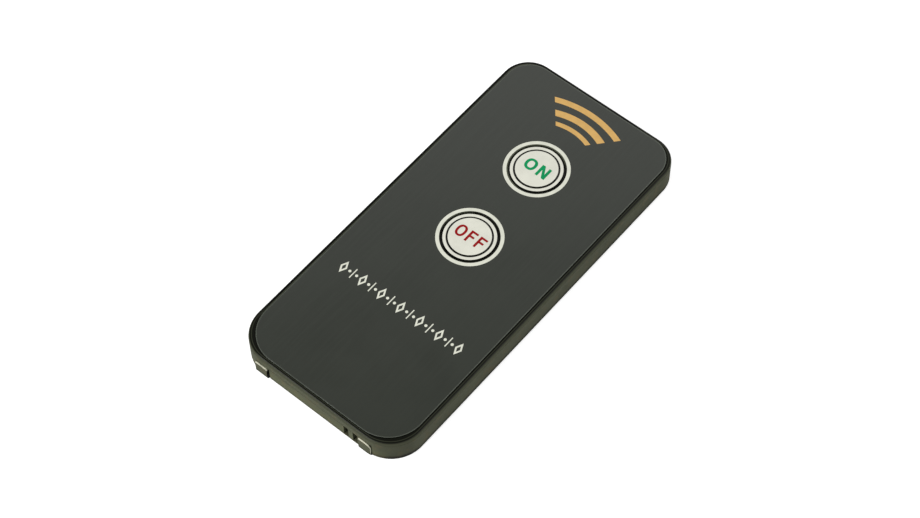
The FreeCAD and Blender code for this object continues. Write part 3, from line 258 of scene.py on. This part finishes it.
class Finish(Nodes):
    """Node tree of one material, with calls for colour, grain and place on the object."""

    def __init__(self, name):
        self.material = bpy.data.materials.new(name)
        self.material.use_nodes = True
        super().__init__(self.material.node_tree)
        self.shader = self.tree.nodes["Principled BSDF"]
        coordinates = self.add("TexCoord")
        self.place = coordinates.outputs["Object"]
        self.normal = coordinates.outputs["Normal"]

    def mix(self, factor, first, second, blend="MIX"):
        """Colour between two colours."""
        node = self.add("Mix", data_type="RGBA", blend_type=blend)
        self.feed(node.inputs["Factor"], factor)
        for socket, color in zip((node.inputs[6], node.inputs[7]), (first, second)):
            self.feed(socket, color)
        return node.outputs[2]

    def vary(self, noise, bottom=0.0, top=1.0):
        """Value that follows a noise from one limit to the other."""
        return self.ramp(noise, 0.3, 0.7, bottom, top)

    def tint(self, noise, color, dark, light):
        """Colour that a noise makes darker and lighter."""
        return self.mix(self.vary(noise), rgba(color, dark), rgba(color, light))

    def stretched(self, scale, turn=0.0):
        """Object coordinates scaled along each axis and turned about Z."""
        node = self.add("Mapping")
        self.feed(node.inputs["Vector"], self.place)
        node.inputs["Scale"].default_value = scale
        node.inputs["Rotation"].default_value = (0.0, 0.0, turn)
        return node.outputs["Vector"]

    def noise(self, size, detail=3.0, roughness=0.5, vector=None):
        """Noise whose features are about a size across, in metres."""
        node = self.add("TexNoise")
        self.feed(node.inputs["Vector"], vector or self.place)
        node.inputs["Scale"].default_value = 1.0 / size
        node.inputs["Detail"].default_value = detail
        node.inputs["Roughness"].default_value = roughness
        return node.outputs["Fac"]

    def specks(self, spacing, share, radius):
        """Small round spots in some cells of a grid of random points."""
        points = self.add("TexVoronoi")
        self.feed(points.inputs["Vector"], self.place)
        points.inputs["Scale"].default_value = 1.0 / spacing
        chosen = self.add("SeparateColor")
        self.feed(chosen.inputs[0], points.outputs["Color"])
        near = self.ramp(points.outputs["Distance"], radius / spacing, 0.5 * radius / spacing)
        few = self.math("LESS_THAN", chosen.outputs[0], share)
        return self.math("MULTIPLY", near, few)

    def bump(self, height, distance, under=None):
        """Normal that follows a height, given in metres for a value of 1."""
        node = self.add("Bump")
        node.inputs["Strength"].default_value = 1.0
        node.inputs["Distance"].default_value = distance
        self.feed(node.inputs["Height"], height)
        if under is not None:
            self.feed(node.inputs["Normal"], under)
        return node.outputs["Normal"]

    def soft_edge(self, radius):
        """Normal that rounds every hard edge by a radius."""
        node = self.add("Bevel", samples=4)
        node.inputs["Radius"].default_value = radius
        return node.outputs["Normal"]

    def edge_mask(self, rounded, low, high):
        """1 on hard edges and 0 on flat faces."""
        flat = self.add("NewGeometry").outputs["Normal"]
        return self.ramp(self.dot(rounded, flat), high, low)

    def facing_up(self, low=0.5, high=0.8):
        """1 on faces that look up or down in the piece's own frame, and 0 on side faces."""
        return self.ramp(self.math("ABSOLUTE", self.parts(self.normal)["Z"]), low, high)

    def facing_foot(self):
        """1 on faces that look towards the foot end, and 0 on the others."""
        return self.ramp(self.parts(self.normal)["Y"], -0.75, -0.97)

    def facing_corner(self):
        """1 on faces turned between the foot end and the right side, and 0 on the others."""
        normal = self.parts(self.normal)
        to_foot = self.ramp(normal["Y"], -0.1, -0.4)
        to_right = self.ramp(normal["X"], 0.1, 0.4)
        return self.math("MULTIPLY", to_foot, to_right)

    def rim_lit_side(self):
        """1 along the foot and the right side, with the corners at their ends, and 0 elsewhere: the
        sides the rim's painted light takes as lit.
        """
        place = self.parts(self.place)
        right = self.math("MULTIPLY", place["X"], 1.0 / CASE_HALF.x)
        head = self.math("MULTIPLY", place["Y"], RIM_HEAD_SHARE / CASE_HALF.y)
        return self.ramp(self.math("SUBTRACT", right, head), *RIM_TURN)

    def inset(self):
        """Distance inside the outline of the case, in plan."""
        place = self.parts(self.place)
        across = self.math("ABSOLUTE", self.math("SUBTRACT", place["X"], CASE_CENTRE.x))
        along = self.math("SUBTRACT", place["Y"], CASE_CENTRE.y)
        at_foot = self.math("LESS_THAN", along, 0.0)
        corner = self.math("MULTIPLY_ADD", at_foot, FOOT_CORNER - HEAD_CORNER, HEAD_CORNER)
        past_side = self.math("SUBTRACT", across, CASE_HALF.x)
        past_end = self.math("SUBTRACT", self.math("ABSOLUTE", along), CASE_HALF.y)
        x = self.math("ADD", past_side, corner)
        y = self.math("ADD", past_end, corner)
        reach = self.length(self.math("MAXIMUM", x, 0.0), self.math("MAXIMUM", y, 0.0))
        short = self.math("MINIMUM", self.math("MAXIMUM", x, y), 0.0)
        return self.math("SUBTRACT", self.math("SUBTRACT", corner, reach), short)

    def set(self, **values):
        """Set or link the shader's sockets by name, with underscores for spaces."""
        for key, value in values.items():
            self.feed(self.shader.inputs[key.replace("_", " ")], value)
        return self.material


def rgba(color, gain=1.0):
    """Colour as four numbers, brighter or darker by a gain."""
    return (*(channel * gain for channel in color), 1.0)


def warmer(color):
    """Colour a little redder and less green."""
    red, green, blue = color
    return (red * 1.15, green * 0.97, blue * 0.9)


def moulded_plastic(slot, grain, grain_depth, roughness):
    """Case plastic: fine grain, flow marks, painted bounce light low on the foot wall, painted shade
    low on the walls, on the right foot corner and in the slit, and painted highlights on the pads'
    ledges.
    """
    finish = Finish(slot)
    base = base_colors[slot]
    flow = finish.noise(9 * MM, detail=4.0)
    blotch = finish.noise(1.6 * MM, detail=3.0)
    fine = finish.noise(grain, detail=2.0, roughness=0.6)
    rounded = finish.soft_edge(0.08 * MM)
    wear = finish.math("MULTIPLY", finish.edge_mask(rounded, 0.86, 0.985), 0.3)
    warm = finish.mix(finish.ramp(blotch, 0.48, 0.7, 0.0, 0.8),
                      finish.tint(flow, base, 0.9, 1.1), rgba(warmer(base), 1.15))
    # Painted bounce light: the foot wall lighter towards its bottom
    bounce_lit = finish.mix(foot_bounce_light(finish), warm, BOUNCE_GAIN, blend="MULTIPLY")
    worn = finish.mix(wear, bounce_lit, rgba(base, 1.8))
    # Painted shade: darker low on the walls, on the right foot corner and in the slit
    lit = finish.math("MULTIPLY", wall_shade(finish), slit_shade(finish))
    # Painted highlight: pale, glossier ledges on the foot pads
    ledge_highlight = pad_ledge_highlights(finish, blotch)
    dull = finish.ramp(fine, 0.25, 0.75, roughness - 0.05, roughness + 0.07)
    return finish.set(
        Base_Color=finish.mix(ledge_highlight, finish.mix(lit, BLACK, worn), LEDGE_HIGHLIGHT_COLOR),
        Roughness=finish.math("SUBTRACT", dull, finish.math("MULTIPLY", ledge_highlight, 0.3)),
        Specular_IOR_Level=0.05,
        Normal=finish.bump(fine, grain_depth, under=rounded),
    )


def foot_bounce_light(finish):
    """1 low on the foot wall, which painted bounce light makes lighter there, and 0 on its pads and
    elsewhere.
    """
    place = finish.parts(finish.place)
    off_pads = finish.ramp(place["Y"], FOOT_WALL - PAD_FRONT, FOOT_WALL - PAD_START)
    low_down = finish.ramp(place["Z"], BOUNCE_TOP, BOUNCE_FULL)
    return finish.math("MULTIPLY", finish.facing_foot(),
                       finish.math("MULTIPLY", off_pads, low_down))


def wall_shade(finish):
    """1 on the walls, less near their bottom and on the right foot corner, where shade is painted."""
    height = finish.parts(finish.place)["Z"]
    upright = finish.inverse(finish.facing_up(0.3, 0.6))
    low_down = finish.math("MULTIPLY", upright, finish.ramp(height, LOW_SHADE_TOP, LOW_SHADE_FULL))
    painted_shade = finish.math("MULTIPLY_ADD", finish.facing_foot(),
                        LOW_SHADE_ON_FOOT - LOW_SHADE_ON_SIDES, LOW_SHADE_ON_SIDES)
    corner = finish.math("MULTIPLY", finish.facing_corner(), CORNER_SHADE)
    return finish.inverse(finish.math("MULTIPLY_ADD", low_down, painted_shade, corner))


def slit_shade(finish):
    """Near 0 on the side faces of the latch's slit, where shade is painted, and 1 elsewhere."""
    place = finish.parts(finish.place)
    facing = finish.parts(finish.add("NewGeometry").outputs["Normal"])
    off_slit = finish.math("ABSOLUTE", finish.math("SUBTRACT", place["X"], SLIT_MIDDLE))
    near_slit = finish.ramp(off_slit, SLIT_HALF + 2 * SLIT_SHADE_REACH, SLIT_HALF + SLIT_SHADE_REACH)
    side_face = finish.ramp(finish.math("ABSOLUTE", facing["X"]), 0.5, 0.8)
    painted_shade = finish.math("MULTIPLY", near_slit, side_face)
    return finish.math("MULTIPLY_ADD", painted_shade, -SLIT_SHADE_DEPTH, 1.0)


def pad_ledge_highlights(finish, blotch):
    """1 on the steps round the two foot pads, which stand out from the foot wall, where a highlight is
    painted.
    """
    place = finish.parts(finish.place)
    facing = finish.parts(finish.add("NewGeometry").outputs["Normal"])
    proud = finish.ramp(place["Y"], FOOT_WALL - LEDGE_START, FOOT_WALL - LEDGE_FULL)
    right_pad = finish.math("GREATER_THAN", place["X"], 0.0)
    side = finish.math("MULTIPLY", facing["X"], right_pad)
    step = finish.ramp(finish.math("MAXIMUM", facing["Z"], side), 0.3, 0.5)
    upper = finish.ramp(place["Z"], LEDGE_LOW, LEDGE_HIGH)
    uneven = finish.ramp(blotch, 0.3, 0.5, 0.75, 1.0)
    return finish.math("MULTIPLY", finish.math("MULTIPLY", proud, step),
                       finish.math("MULTIPLY", upper, uneven))


def frame_plastic(slot):
    """Black moulding, glossy on top, with painted highlight and shade on its rim, whose sides take the
    case's olive tone with painted shade towards the foot and corner.
    """
    finish = Finish(slot)
    base = base_colors[slot]
    olive = base_colors["case_plastic"]
    smudge = finish.noise(6 * MM, detail=5.0, roughness=0.6)
    rounded = finish.soft_edge(0.06 * MM)
    # Painted shade: the sides darker on the foot side and the corner
    off_foot = finish.mix(finish.facing_corner(), rgba(olive, OLIVE_ON_SIDES),
                          rgba(olive, OLIVE_SHADED_CORNER))
    side = finish.mix(finish.facing_foot(), off_foot, rgba(olive, OLIVE_SHADED_FOOT))
    gloss = finish.facing_up(0.3, 0.6)
    dull = finish.ramp(smudge, 0.3, 0.75, 0.4, 0.5)
    return finish.set(
        Base_Color=finish.mix(finish.facing_up(0.5, 0.95), side, rim_tone(finish, base)),
        Roughness=finish.math("SUBTRACT", dull, finish.math("MULTIPLY", gloss, 0.25)),
        Specular_IOR_Level=finish.math("MULTIPLY_ADD", gloss, 0.05, 0.05),
        Normal=finish.bump(smudge, 0.004 * MM, under=rounded),
    )


def rim_tone(finish, base):
    """Rubbed black, with painted shade away from the foot and right; a painted highlight on the
    ridge's crest at the foot and right, and on its inner flank elsewhere.
    """
    rub = finish.noise(1 * MM, detail=3.0, vector=finish.stretched((6.0, 0.4, 1.0), 0.7))
    uneven = finish.mix(finish.ramp(rub, 0.6, 0.8), rgba(base, 0.6), rgba(base, 1.1))
    near = finish.rim_lit_side()
    # Painted shade: the rim much darker away from the foot and right
    black = finish.mix(near, rgba(base, 0.3), uneven)
    past_ridge = finish.math("SUBTRACT", finish.inset(), RIDGE_INSET)
    off_ridge = finish.math("ABSOLUTE", past_ridge)
    crest = finish.ramp(off_ridge, RIDGE_HALF_WIDTH, 0.3 * RIDGE_HALF_WIDTH)
    inside = finish.ramp(past_ridge, RIDGE_HALF_WIDTH, 1.5 * RIDGE_HALF_WIDTH)
    # Painted highlights: the ridge's crest on the lit sides, its inner flank on the others
    crest_lit = finish.mix(finish.math("MULTIPLY", crest, near), black, rgba(base, RIDGE_HIGHLIGHT_GAIN))
    flank_highlight = finish.math("MULTIPLY", inside, finish.inverse(near))
    return finish.mix(flank_highlight, crest_lit, rgba(base, FLANK_HIGHLIGHT_GAIN))


def label_film(slot):
    """Dark printed film: satin grain, faint slanted streaks, dust, a painted highlight along its
    border, its cut edge painted black as shade.
    """
    finish = Finish(slot)
    base = base_colors[slot]
    slanted = finish.stretched((1.0, 0.06, 1.0), math.radians(35))
    cloud = finish.noise(14 * MM, detail=3.0)
    streak = finish.noise(0.5 * MM, detail=2.0, vector=slanted)
    grain = finish.noise(0.09 * MM, detail=2.0)
    dust = finish.specks(2.6 * MM, 0.05, 0.055 * MM)
    rounded = finish.soft_edge(0.05 * MM)
    # Painted highlight: a pale line along the film's border
    border_highlight = finish.edge_mask(finish.soft_edge(0.4 * MM), 0.88, 0.998)
    streaked = finish.mix(finish.ramp(streak, 0.35, 0.75, 0.0, 0.5),
                          finish.tint(cloud, base, 0.95, 1.05), rgba(base, 1.12))
    dusted = finish.mix(finish.math("MULTIPLY", dust, 0.55), streaked, DUST_COLOR)
    highlighted = finish.mix(border_highlight, dusted, rgba(base, 3.8))
    # Painted shade: the film's cut edge painted black
    shaded_cut = rgba(base_colors["frame_plastic"], 0.5)
    return finish.set(
        Base_Color=finish.mix(finish.facing_up(), shaded_cut, highlighted),
        Roughness=finish.vary(cloud, 0.15, 0.2),
        Specular_IOR_Level=0.6,
        Normal=finish.bump(grain, 0.0015 * MM, under=rounded),
    )


def key_plastic(slot):
    """White printed key top over black plastic, which shows in the groove and down the side."""
    finish = Finish(slot)
    base = base_colors[slot]
    height = finish.parts(finish.place)["Z"]
    print_end = KEY_TOP - KEY_PRINT_DEPTH
    above_groove = finish.ramp(height, print_end - KEY_PRINT_FADE, print_end)
    printed = finish.math("MULTIPLY", above_groove, finish.facing_up())
    grain = finish.noise(0.12 * MM, detail=2.0)
    cloud = finish.noise(2.5 * MM, detail=4.0)
    rounded = finish.soft_edge(0.04 * MM)
    black = rgba(base_colors["frame_plastic"])
    return finish.set(
        Base_Color=finish.mix(printed, black, finish.tint(cloud, base, 0.95, 1.03)),
        Roughness=finish.vary(cloud, 0.32, 0.42),
        Specular_IOR_Level=0.4,
        Normal=finish.bump(grain, 0.0015 * MM, under=rounded),
    )


def screen_ink(slot):
    """Screen-printed ink with a slightly uneven film."""
    finish = Finish(slot)
    cloud = finish.noise(1.2 * MM, detail=4.0)
    mesh_mark = finish.noise(0.1 * MM, detail=1.0)
    return finish.set(
        Base_Color=finish.tint(cloud, base_colors[slot], 0.94, 1.04),
        Roughness=finish.vary(mesh_mark, 0.4, 0.52),
        Specular_IOR_Level=0.15,
        Normal=finish.bump(mesh_mark, 0.0015 * MM),
    )


def round_brushing(finish, centre):
    """Noise in fine rings round a centre."""
    place = finish.parts(finish.place)
    x = finish.math("SUBTRACT", place["X"], centre.x)
    y = finish.math("SUBTRACT", place["Y"], centre.y)
    rings = finish.add("CombineXYZ")
    finish.feed(rings.inputs["X"], finish.length(x, y))
    return finish.noise(0.1 * MM, detail=3.0, vector=rings.outputs[0])


def rolled_metal(slot, roughness, centre=None, tarnish=0.0):
    """Bare sheet metal with brushing along Y, or round a centre, darkened by tarnish."""
    finish = Finish(slot)
    if centre is None:
        along = finish.stretched((1.0, 0.05, 1.0))
        brushing = finish.noise(0.12 * MM, detail=3.0, vector=along)
    else:
        brushing = round_brushing(finish, centre)
    stain = finish.ramp(finish.noise(3 * MM, detail=4.0), 0.35, 0.7)
    base = base_colors[slot]
    rounded = finish.soft_edge(0.03 * MM)
    return finish.set(
        Base_Color=finish.mix(stain, rgba(base, 0.9 - tarnish), rgba(base, 1.05 - tarnish)),
        Metallic=1.0,
        Roughness=finish.vary(brushing, roughness, roughness + 0.14),
        Normal=finish.bump(brushing, 0.002 * MM, under=rounded),
    )


def circuit_laminate(slot):
    """Solder-masked laminate: green skin, raised tracks and a glassy woven base."""
    finish = Finish(slot)
    base = base_colors[slot]
    tracks = finish.add("TexBrick")
    finish.feed(tracks.inputs["Vector"], finish.place)
    tracks.inputs["Scale"].default_value = 1.0 / TRACK_PITCH
    tracks.inputs["Mortar Size"].default_value = 0.05
    tracks.inputs["Brick Width"].default_value = 1.7
    weave = finish.noise(0.3 * MM, detail=1.0)
    copper = finish.math("MULTIPLY", tracks.outputs["Fac"], finish.facing_up())
    skin = finish.tint(weave, base, 0.9, 1.15)
    return finish.set(
        Base_Color=finish.mix(finish.math("MULTIPLY", copper, 0.6), skin, rgba(base, 2.4)),
        Roughness=finish.vary(weave, 0.28, 0.38),
        Normal=finish.bump(tracks.outputs["Fac"], 0.02 * MM),
    )


def clear_plastic(slot, transmission, roughness):
    """Clear or tinted plastic with faint ripples."""
    finish = Finish(slot)
    ripple = finish.noise(1.5 * MM, detail=3.0)
    return finish.set(
        Base_Color=finish.tint(ripple, base_colors[slot], 0.95, 1.05),
        Roughness=finish.vary(ripple, roughness, roughness + 0.05),
        Transmission_Weight=transmission,
        IOR=1.5,
        Normal=finish.bump(ripple, 0.003 * MM),
    )


def component_body(slot, grain, roughness):
    """Moulded, dipped or glazed body of an electronic component."""
    finish = Finish(slot)
    fine = finish.noise(grain, detail=3.0)
    rounded = finish.soft_edge(0.05 * MM)
    return finish.set(
        Base_Color=finish.tint(fine, base_colors[slot], 0.88, 1.15),
        Roughness=finish.vary(fine, roughness, roughness + 0.12),
        Normal=finish.bump(fine, 0.01 * MM, under=rounded),
    )


def make_materials():
    """One finish for each slot of the record, by its maker and the maker's settings."""
    makers = {
        "case_plastic": (moulded_plastic, 0.14 * MM, 0.012 * MM, 0.52),
        "frame_plastic": (frame_plastic,),
        "adhesive_film": (component_body, 0.5 * MM, 0.6),
        "label_film": (label_film,),
        "key_plastic": (key_plastic,),
        "spring_steel": (rolled_metal, 0.25),
        "clear_film": (clear_plastic, 0.9, 0.12),
        "board_laminate": (circuit_laminate,),
        "led_epoxy": (clear_plastic, 0.5, 0.06),
        "tinned_lead": (rolled_metal, 0.3),
        "chip_epoxy": (component_body, 0.1 * MM, 0.5),
        "resonator_epoxy": (component_body, 0.6 * MM, 0.2),
        "capacitor_epoxy": (component_body, 0.4 * MM, 0.3),
        "resistor_ceramic": (component_body, 0.2 * MM, 0.25),
        "cell_steel": (rolled_metal, 0.28, CELL_CENTRE, 0.3),
        "seal_plastic": (component_body, 0.2 * MM, 0.45),
        "pellet_filler": (component_body, 0.15 * MM, 0.8),
        "white_ink": (screen_ink,),
        "tan_ink": (screen_ink,),
        "green_ink": (screen_ink,),
        "red_ink": (screen_ink,),
    }
    return {slot: maker(slot, *settings) for slot, (maker, *settings) in makers.items()}


def dress_nodes(materials):
    """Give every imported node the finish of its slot."""
    for entry in record["subparts"]:
        mesh = nodes[entry["node"]].data
        mesh.materials.clear()
        mesh.materials.append(materials[entry["material_slot"]])


def circle_points(centre, radius, start=0.0, stop=math.tau, steps=LOOP_STEPS):
    """Points on an arc; a full turn leaves out its last point."""
    closed = math.isclose(stop - start, math.tau)
    count = steps if closed else steps + 1
    return [
        Vector((centre.x + radius * math.cos(start + (stop - start) * index / steps),
                centre.y + radius * math.sin(start + (stop - start) * index / steps)))
        for index in range(count)
    ]


def oval_points(centre, half_width, half_height, roundness):
    """Points on an oval that is a little squarer than an ellipse."""
    points = []
    for index in range(LOOP_STEPS):
        angle = math.tau * index / LOOP_STEPS
        x, y = math.cos(angle), math.sin(angle)
        points.append(Vector((
            centre.x + half_width * math.copysign(abs(x) ** (2 / roundness), x),
            centre.y + half_height * math.copysign(abs(y) ** (2 / roundness), y),
        )))
    return points


def add_band(form, inner, outer, base, closed=True):
    """Flat band of ink between two runs of points."""
    top = base + INK_THICKNESS
    rings = [[form.verts.new((*point, z)) for point in run]
             for run, z in ((inner, top), (outer, top), (inner, base), (outer, base))]
    count = len(inner)
    inner_top, outer_top, inner_base, outer_base = rings
    for index in range(count if closed else count - 1):
        nxt = (index + 1) % count
        form.faces.new((outer_top[index], outer_top[nxt], inner_top[nxt], inner_top[index]))
        form.faces.new((inner_base[index], inner_base[nxt], outer_base[nxt], outer_base[index]))
        form.faces.new((outer_base[index], outer_base[nxt], outer_top[nxt], outer_top[index]))
        form.faces.new((inner_top[index], inner_top[nxt], inner_base[nxt], inner_base[index]))
    if not closed:
        form.faces.new((inner_base[0], outer_base[0], outer_top[0], inner_top[0]))
        form.faces.new((inner_top[-1], outer_top[-1], outer_base[-1], inner_base[-1]))


def add_plate(form, outline, base):
    """Flat plate of ink inside an outline."""
    upper = [form.verts.new((*point, base + INK_THICKNESS)) for point in outline]
    lower = [form.verts.new((*point, base)) for point in outline]
    form.faces.new(upper)
    form.faces.new(list(reversed(lower)))
    for index in range(len(outline)):
        nxt = (index + 1) % len(outline)
        form.faces.new((lower[index], lower[nxt], upper[nxt], upper[index]))


def finish_piece(name, form, body, slot, materials):
    """Turn a form into a piece that rides on a body and takes a slot's finish."""
    bmesh.ops.recalc_face_normals(form, faces=form.faces)
    mesh = bpy.data.meshes.new(name)
    form.to_mesh(mesh)
    form.free()
    piece = bpy.data.objects.new(name, mesh)
    bpy.context.scene.collection.objects.link(piece)
    mesh.materials.append(materials[slot])
    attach(piece, body)


def print_rings(materials):
    """Black ring at the edge of each keyhole, and the white ring round it."""
    rings = (("black", KEYHOLE_RADIUS, RING_INNER, "frame_plastic"),
             ("white", RING_INNER, RING_OUTER, "white_ink"))
    for key, centre in (("on_key", ON_CENTRE), ("off_key", OFF_CENTRE)):
        for color, inner, outer, slot in rings:
            form = bmesh.new()
            add_band(form, circle_points(centre, inner), circle_points(centre, outer), LABEL_TOP)
            finish_piece(f"{key}_{color}_ring", form, "handset", slot, materials)


def fan_angle(radius, apex):
    """Angle from the axis at which a circle meets the edge of the fan."""
    sine, cosine = math.sin(WAVE_FAN_ANGLE), math.cos(WAVE_FAN_ANGLE)
    along = math.sqrt(radius ** 2 - (apex * sine) ** 2) - apex * cosine
    return math.atan2(along * sine, apex + along * cosine)


def print_waves(materials):
    """Three curved bands of the infrared sign, above the upper key."""
    axis = Vector((math.cos(WAVE_FAN_AXIS), math.sin(WAVE_FAN_AXIS)))
    for name, (inner, outer, drop) in WAVE_BANDS.items():
        runs = []
        for radius in (inner, outer):
            reach = fan_angle(radius, WAVE_FAN_APEX + drop)
            runs.append(circle_points(ON_CENTRE - axis * drop, radius,
                                      WAVE_FAN_AXIS + reach, WAVE_FAN_AXIS - reach))
        form = bmesh.new()
        add_band(form, *runs, LABEL_TOP, closed=False)
        finish_piece(name, form, "handset", "tan_ink", materials)


def add_letter(form, letter, left, low, width, stroke):
    """Plain bold capital O, N or F on a key."""
    high = low + LETTER_HEIGHT
    right = left + width
    bar = stroke * BAR_TO_STROKE
    if letter == "O":
        centre = Vector(((left + right) / 2, (low + high) / 2))
        inner = oval_points(centre, width / 2 - stroke, LETTER_HEIGHT / 2 - bar, O_ROUNDNESS)
        outer = oval_points(centre, width / 2, LETTER_HEIGHT / 2, O_ROUNDNESS)
        add_band(form, inner, outer, KEY_TOP)
    elif letter == "N":
        slant = stroke * SLANT_WIDTH
        notch = slant * SLANT_NOTCH
        add_plate(form, [
            (left, low), (left + stroke, low), (left + stroke, high - notch),
            (right - slant, low), (right, low), (right, high), (right - stroke, high),
            (right - stroke, low + notch), (left + slant, high), (left, high),
        ], KEY_TOP)
    elif letter == "F":
        middle = low + LETTER_HEIGHT * CROSSBAR_PLACE
        reach = left + width * CROSSBAR_REACH
        add_plate(form, [
            (left, low), (left + stroke, low), (left + stroke, middle - bar / 2),
            (reach, middle - bar / 2), (reach, middle + bar / 2), (left + stroke, middle + bar / 2),
            (left + stroke, high - bar), (right, high - bar), (right, high), (left, high),
        ], KEY_TOP)


def print_legend(name, letters, gap, stroke, centre, body, slot, materials):
    """Row of capitals in the middle of a key."""
    form = bmesh.new()
    total = sum(width for _, width in letters) + gap * (len(letters) - 1)
    left = centre.x - total / 2
    for letter, width in letters:
        add_letter(form, letter, left, centre.y - LETTER_HEIGHT / 2, width, stroke)
        left += width + gap
    finish_piece(name, form, body, slot, materials)


def diamond_points(x, size):
    """Corners of a diamond on the ornament's line, at a share of its full size."""
    half_width = ORNAMENT_DIAMOND_WIDTH / 2 * size
    half_height = ORNAMENT_HEIGHT / 2 * size
    return [(x + half_width, ORNAMENT_LINE), (x, ORNAMENT_LINE + half_height),
            (x - half_width, ORNAMENT_LINE), (x, ORNAMENT_LINE - half_height)]


def print_ornament(materials):
    """Row of small diamonds with a bar and two dots between neighbours."""
    form = bmesh.new()
    first = ORNAMENT_LEFT + ORNAMENT_DIAMOND_WIDTH / 2
    pitch = (ORNAMENT_RIGHT - ORNAMENT_LEFT - ORNAMENT_DIAMOND_WIDTH) / (ORNAMENT_DIAMONDS - 1)
    for index in range(ORNAMENT_DIAMONDS):
        x = first + index * pitch
        add_band(form, diamond_points(x, ORNAMENT_HOLLOW), diamond_points(x, 1.0), LABEL_TOP)
    half_bar = ORNAMENT_BAR_WIDTH / 2
    reach = ORNAMENT_HEIGHT / 2 * ORNAMENT_BAR_LENGTH
    for index in range(ORNAMENT_DIAMONDS - 1):
        middle = first + (index + 0.5) * pitch
        add_plate(form, [(middle - half_bar, ORNAMENT_LINE - reach),
                         (middle + half_bar, ORNAMENT_LINE - reach),
                         (middle + half_bar, ORNAMENT_LINE + reach),
                         (middle - half_bar, ORNAMENT_LINE + reach)], LABEL_TOP)
        for sign in (-1, 1):
            dot = Vector((middle + sign * pitch * ORNAMENT_DOT_OFFSET, ORNAMENT_LINE))
            add_plate(form, circle_points(dot, ORNAMENT_DOT_RADIUS, steps=DOT_STEPS), LABEL_TOP)
    finish_piece("face_ornament", form, "handset", "white_ink", materials)


def floor_paper():
    """White paper that glows a little, so that only the soft shadow shows on it."""
    paper = Finish("floor_paper")
    paper.set(Base_Color=rgba((FLOOR_SHADE,) * 3), Roughness=0.9, Specular_IOR_Level=0.0)
    glow = paper.add("Emission")
    glow.inputs["Color"].default_value = WHITE
    paper.feed(glow.inputs["Strength"], paper.rays(FLOOR_GLOW))
    both = paper.add("AddShader")
    paper.feed(both.inputs[0], paper.shader.outputs[0])
    paper.feed(both.inputs[1], glow.outputs[0])
    paper.feed(paper.tree.nodes["Material Output"].inputs["Surface"], both.outputs[0])
    return paper.material


def build_floor():
    """White floor that keeps the object's soft shadow."""
    form = bmesh.new()
    corners = ((-1, -1), (1, -1), (1, 1), (-1, 1))
    form.faces.new([form.verts.new((x * FLOOR_HALF, y * FLOOR_HALF, 0.0)) for x, y in corners])
    mesh = bpy.data.meshes.new("floor")
    form.to_mesh(mesh)
    form.free()
    mesh.materials.append(floor_paper())
    floor = bpy.data.objects.new("floor", mesh)
    floor.location.z = -FLOOR_DROP
    bpy.context.scene.collection.objects.link(floor)


def build_world():
    """Even studio light, white where it is seen; mirror rays find it dark overhead and at the left."""
    world = bpy.data.worlds.new("studio")
    bpy.context.scene.world = world
    world.use_nodes = True
    sky = Nodes(world.node_tree)
    direction = sky.add("TexCoord").outputs["Generated"]
    by_height = sky.ramp(sky.parts(direction)["Z"], *MIRROR_SKY)
    by_side = sky.ramp(sky.dot(direction, MIRROR_SIDE_AXIS), *MIRROR_SIDE)
    glossy = sky.add("LightPath").outputs["Is Glossy Ray"]
    mirrored = sky.math("MULTIPLY", glossy, sky.math("MULTIPLY", by_height, by_side))
    background = world.node_tree.nodes["Background"]
    background.inputs["Color"].default_value = WHITE
    sky.feed(background.inputs["Strength"], sky.math("ADD", mirrored, sky.rays(SKY_LIGHT)))


def build_lights():
    """Large soft light in front of the foot, and a weaker one at the head, that face the object."""
    for name, (place, side, power) in SOFTBOXES.items():
        light = bpy.data.lights.new(name, "AREA")
        light.shape = "RECTANGLE"
        light.size = side
        light.size_y = side
        light.energy = power
        lamp = bpy.data.objects.new(name, light)
        lamp.location = place
        lamp.rotation_euler = (-place).to_track_quat("-Z", "Y").to_euler()
        bpy.context.scene.collection.objects.link(lamp)


def build_camera():
    """Camera at the photograph's place."""
    data = bpy.data.cameras.new("camera")
    data.sensor_fit = "HORIZONTAL"
    data.sensor_width = CAMERA_SENSOR
    data.lens = CAMERA_LENS
    data.clip_start = CAMERA_NEAR
    data.clip_end = CAMERA_FAR
    camera = bpy.data.objects.new("camera", data)
    turn = Matrix((CAMERA_RIGHT, -CAMERA_DOWN, -CAMERA_FORWARD)).transposed().to_4x4()
    camera.matrix_world = Matrix.Translation(CAMERA_PLACE) @ turn
    bpy.context.scene.collection.objects.link(camera)
    bpy.context.scene.camera = camera


def build_scene():
    """Everything in the scene, in order."""
    materials = make_materials()
    dress_nodes(materials)
    print_rings(materials)
    print_waves(materials)
    print_legend("on_legend", ON_LETTERS, ON_LETTER_GAP, ON_STROKE, ON_CENTRE + ON_SHIFT,
                 "upper_key", "green_ink", materials)
    print_legend("off_legend", OFF_LETTERS, OFF_LETTER_GAP, OFF_STROKE, OFF_CENTRE + OFF_SHIFT,
                 "lower_key", "red_ink", materials)
    print_ornament(materials)
    build_floor()
    build_world()
    build_lights()
    build_camera()
    bpy.context.scene.view_settings.view_transform = "Standard"


build_scene()
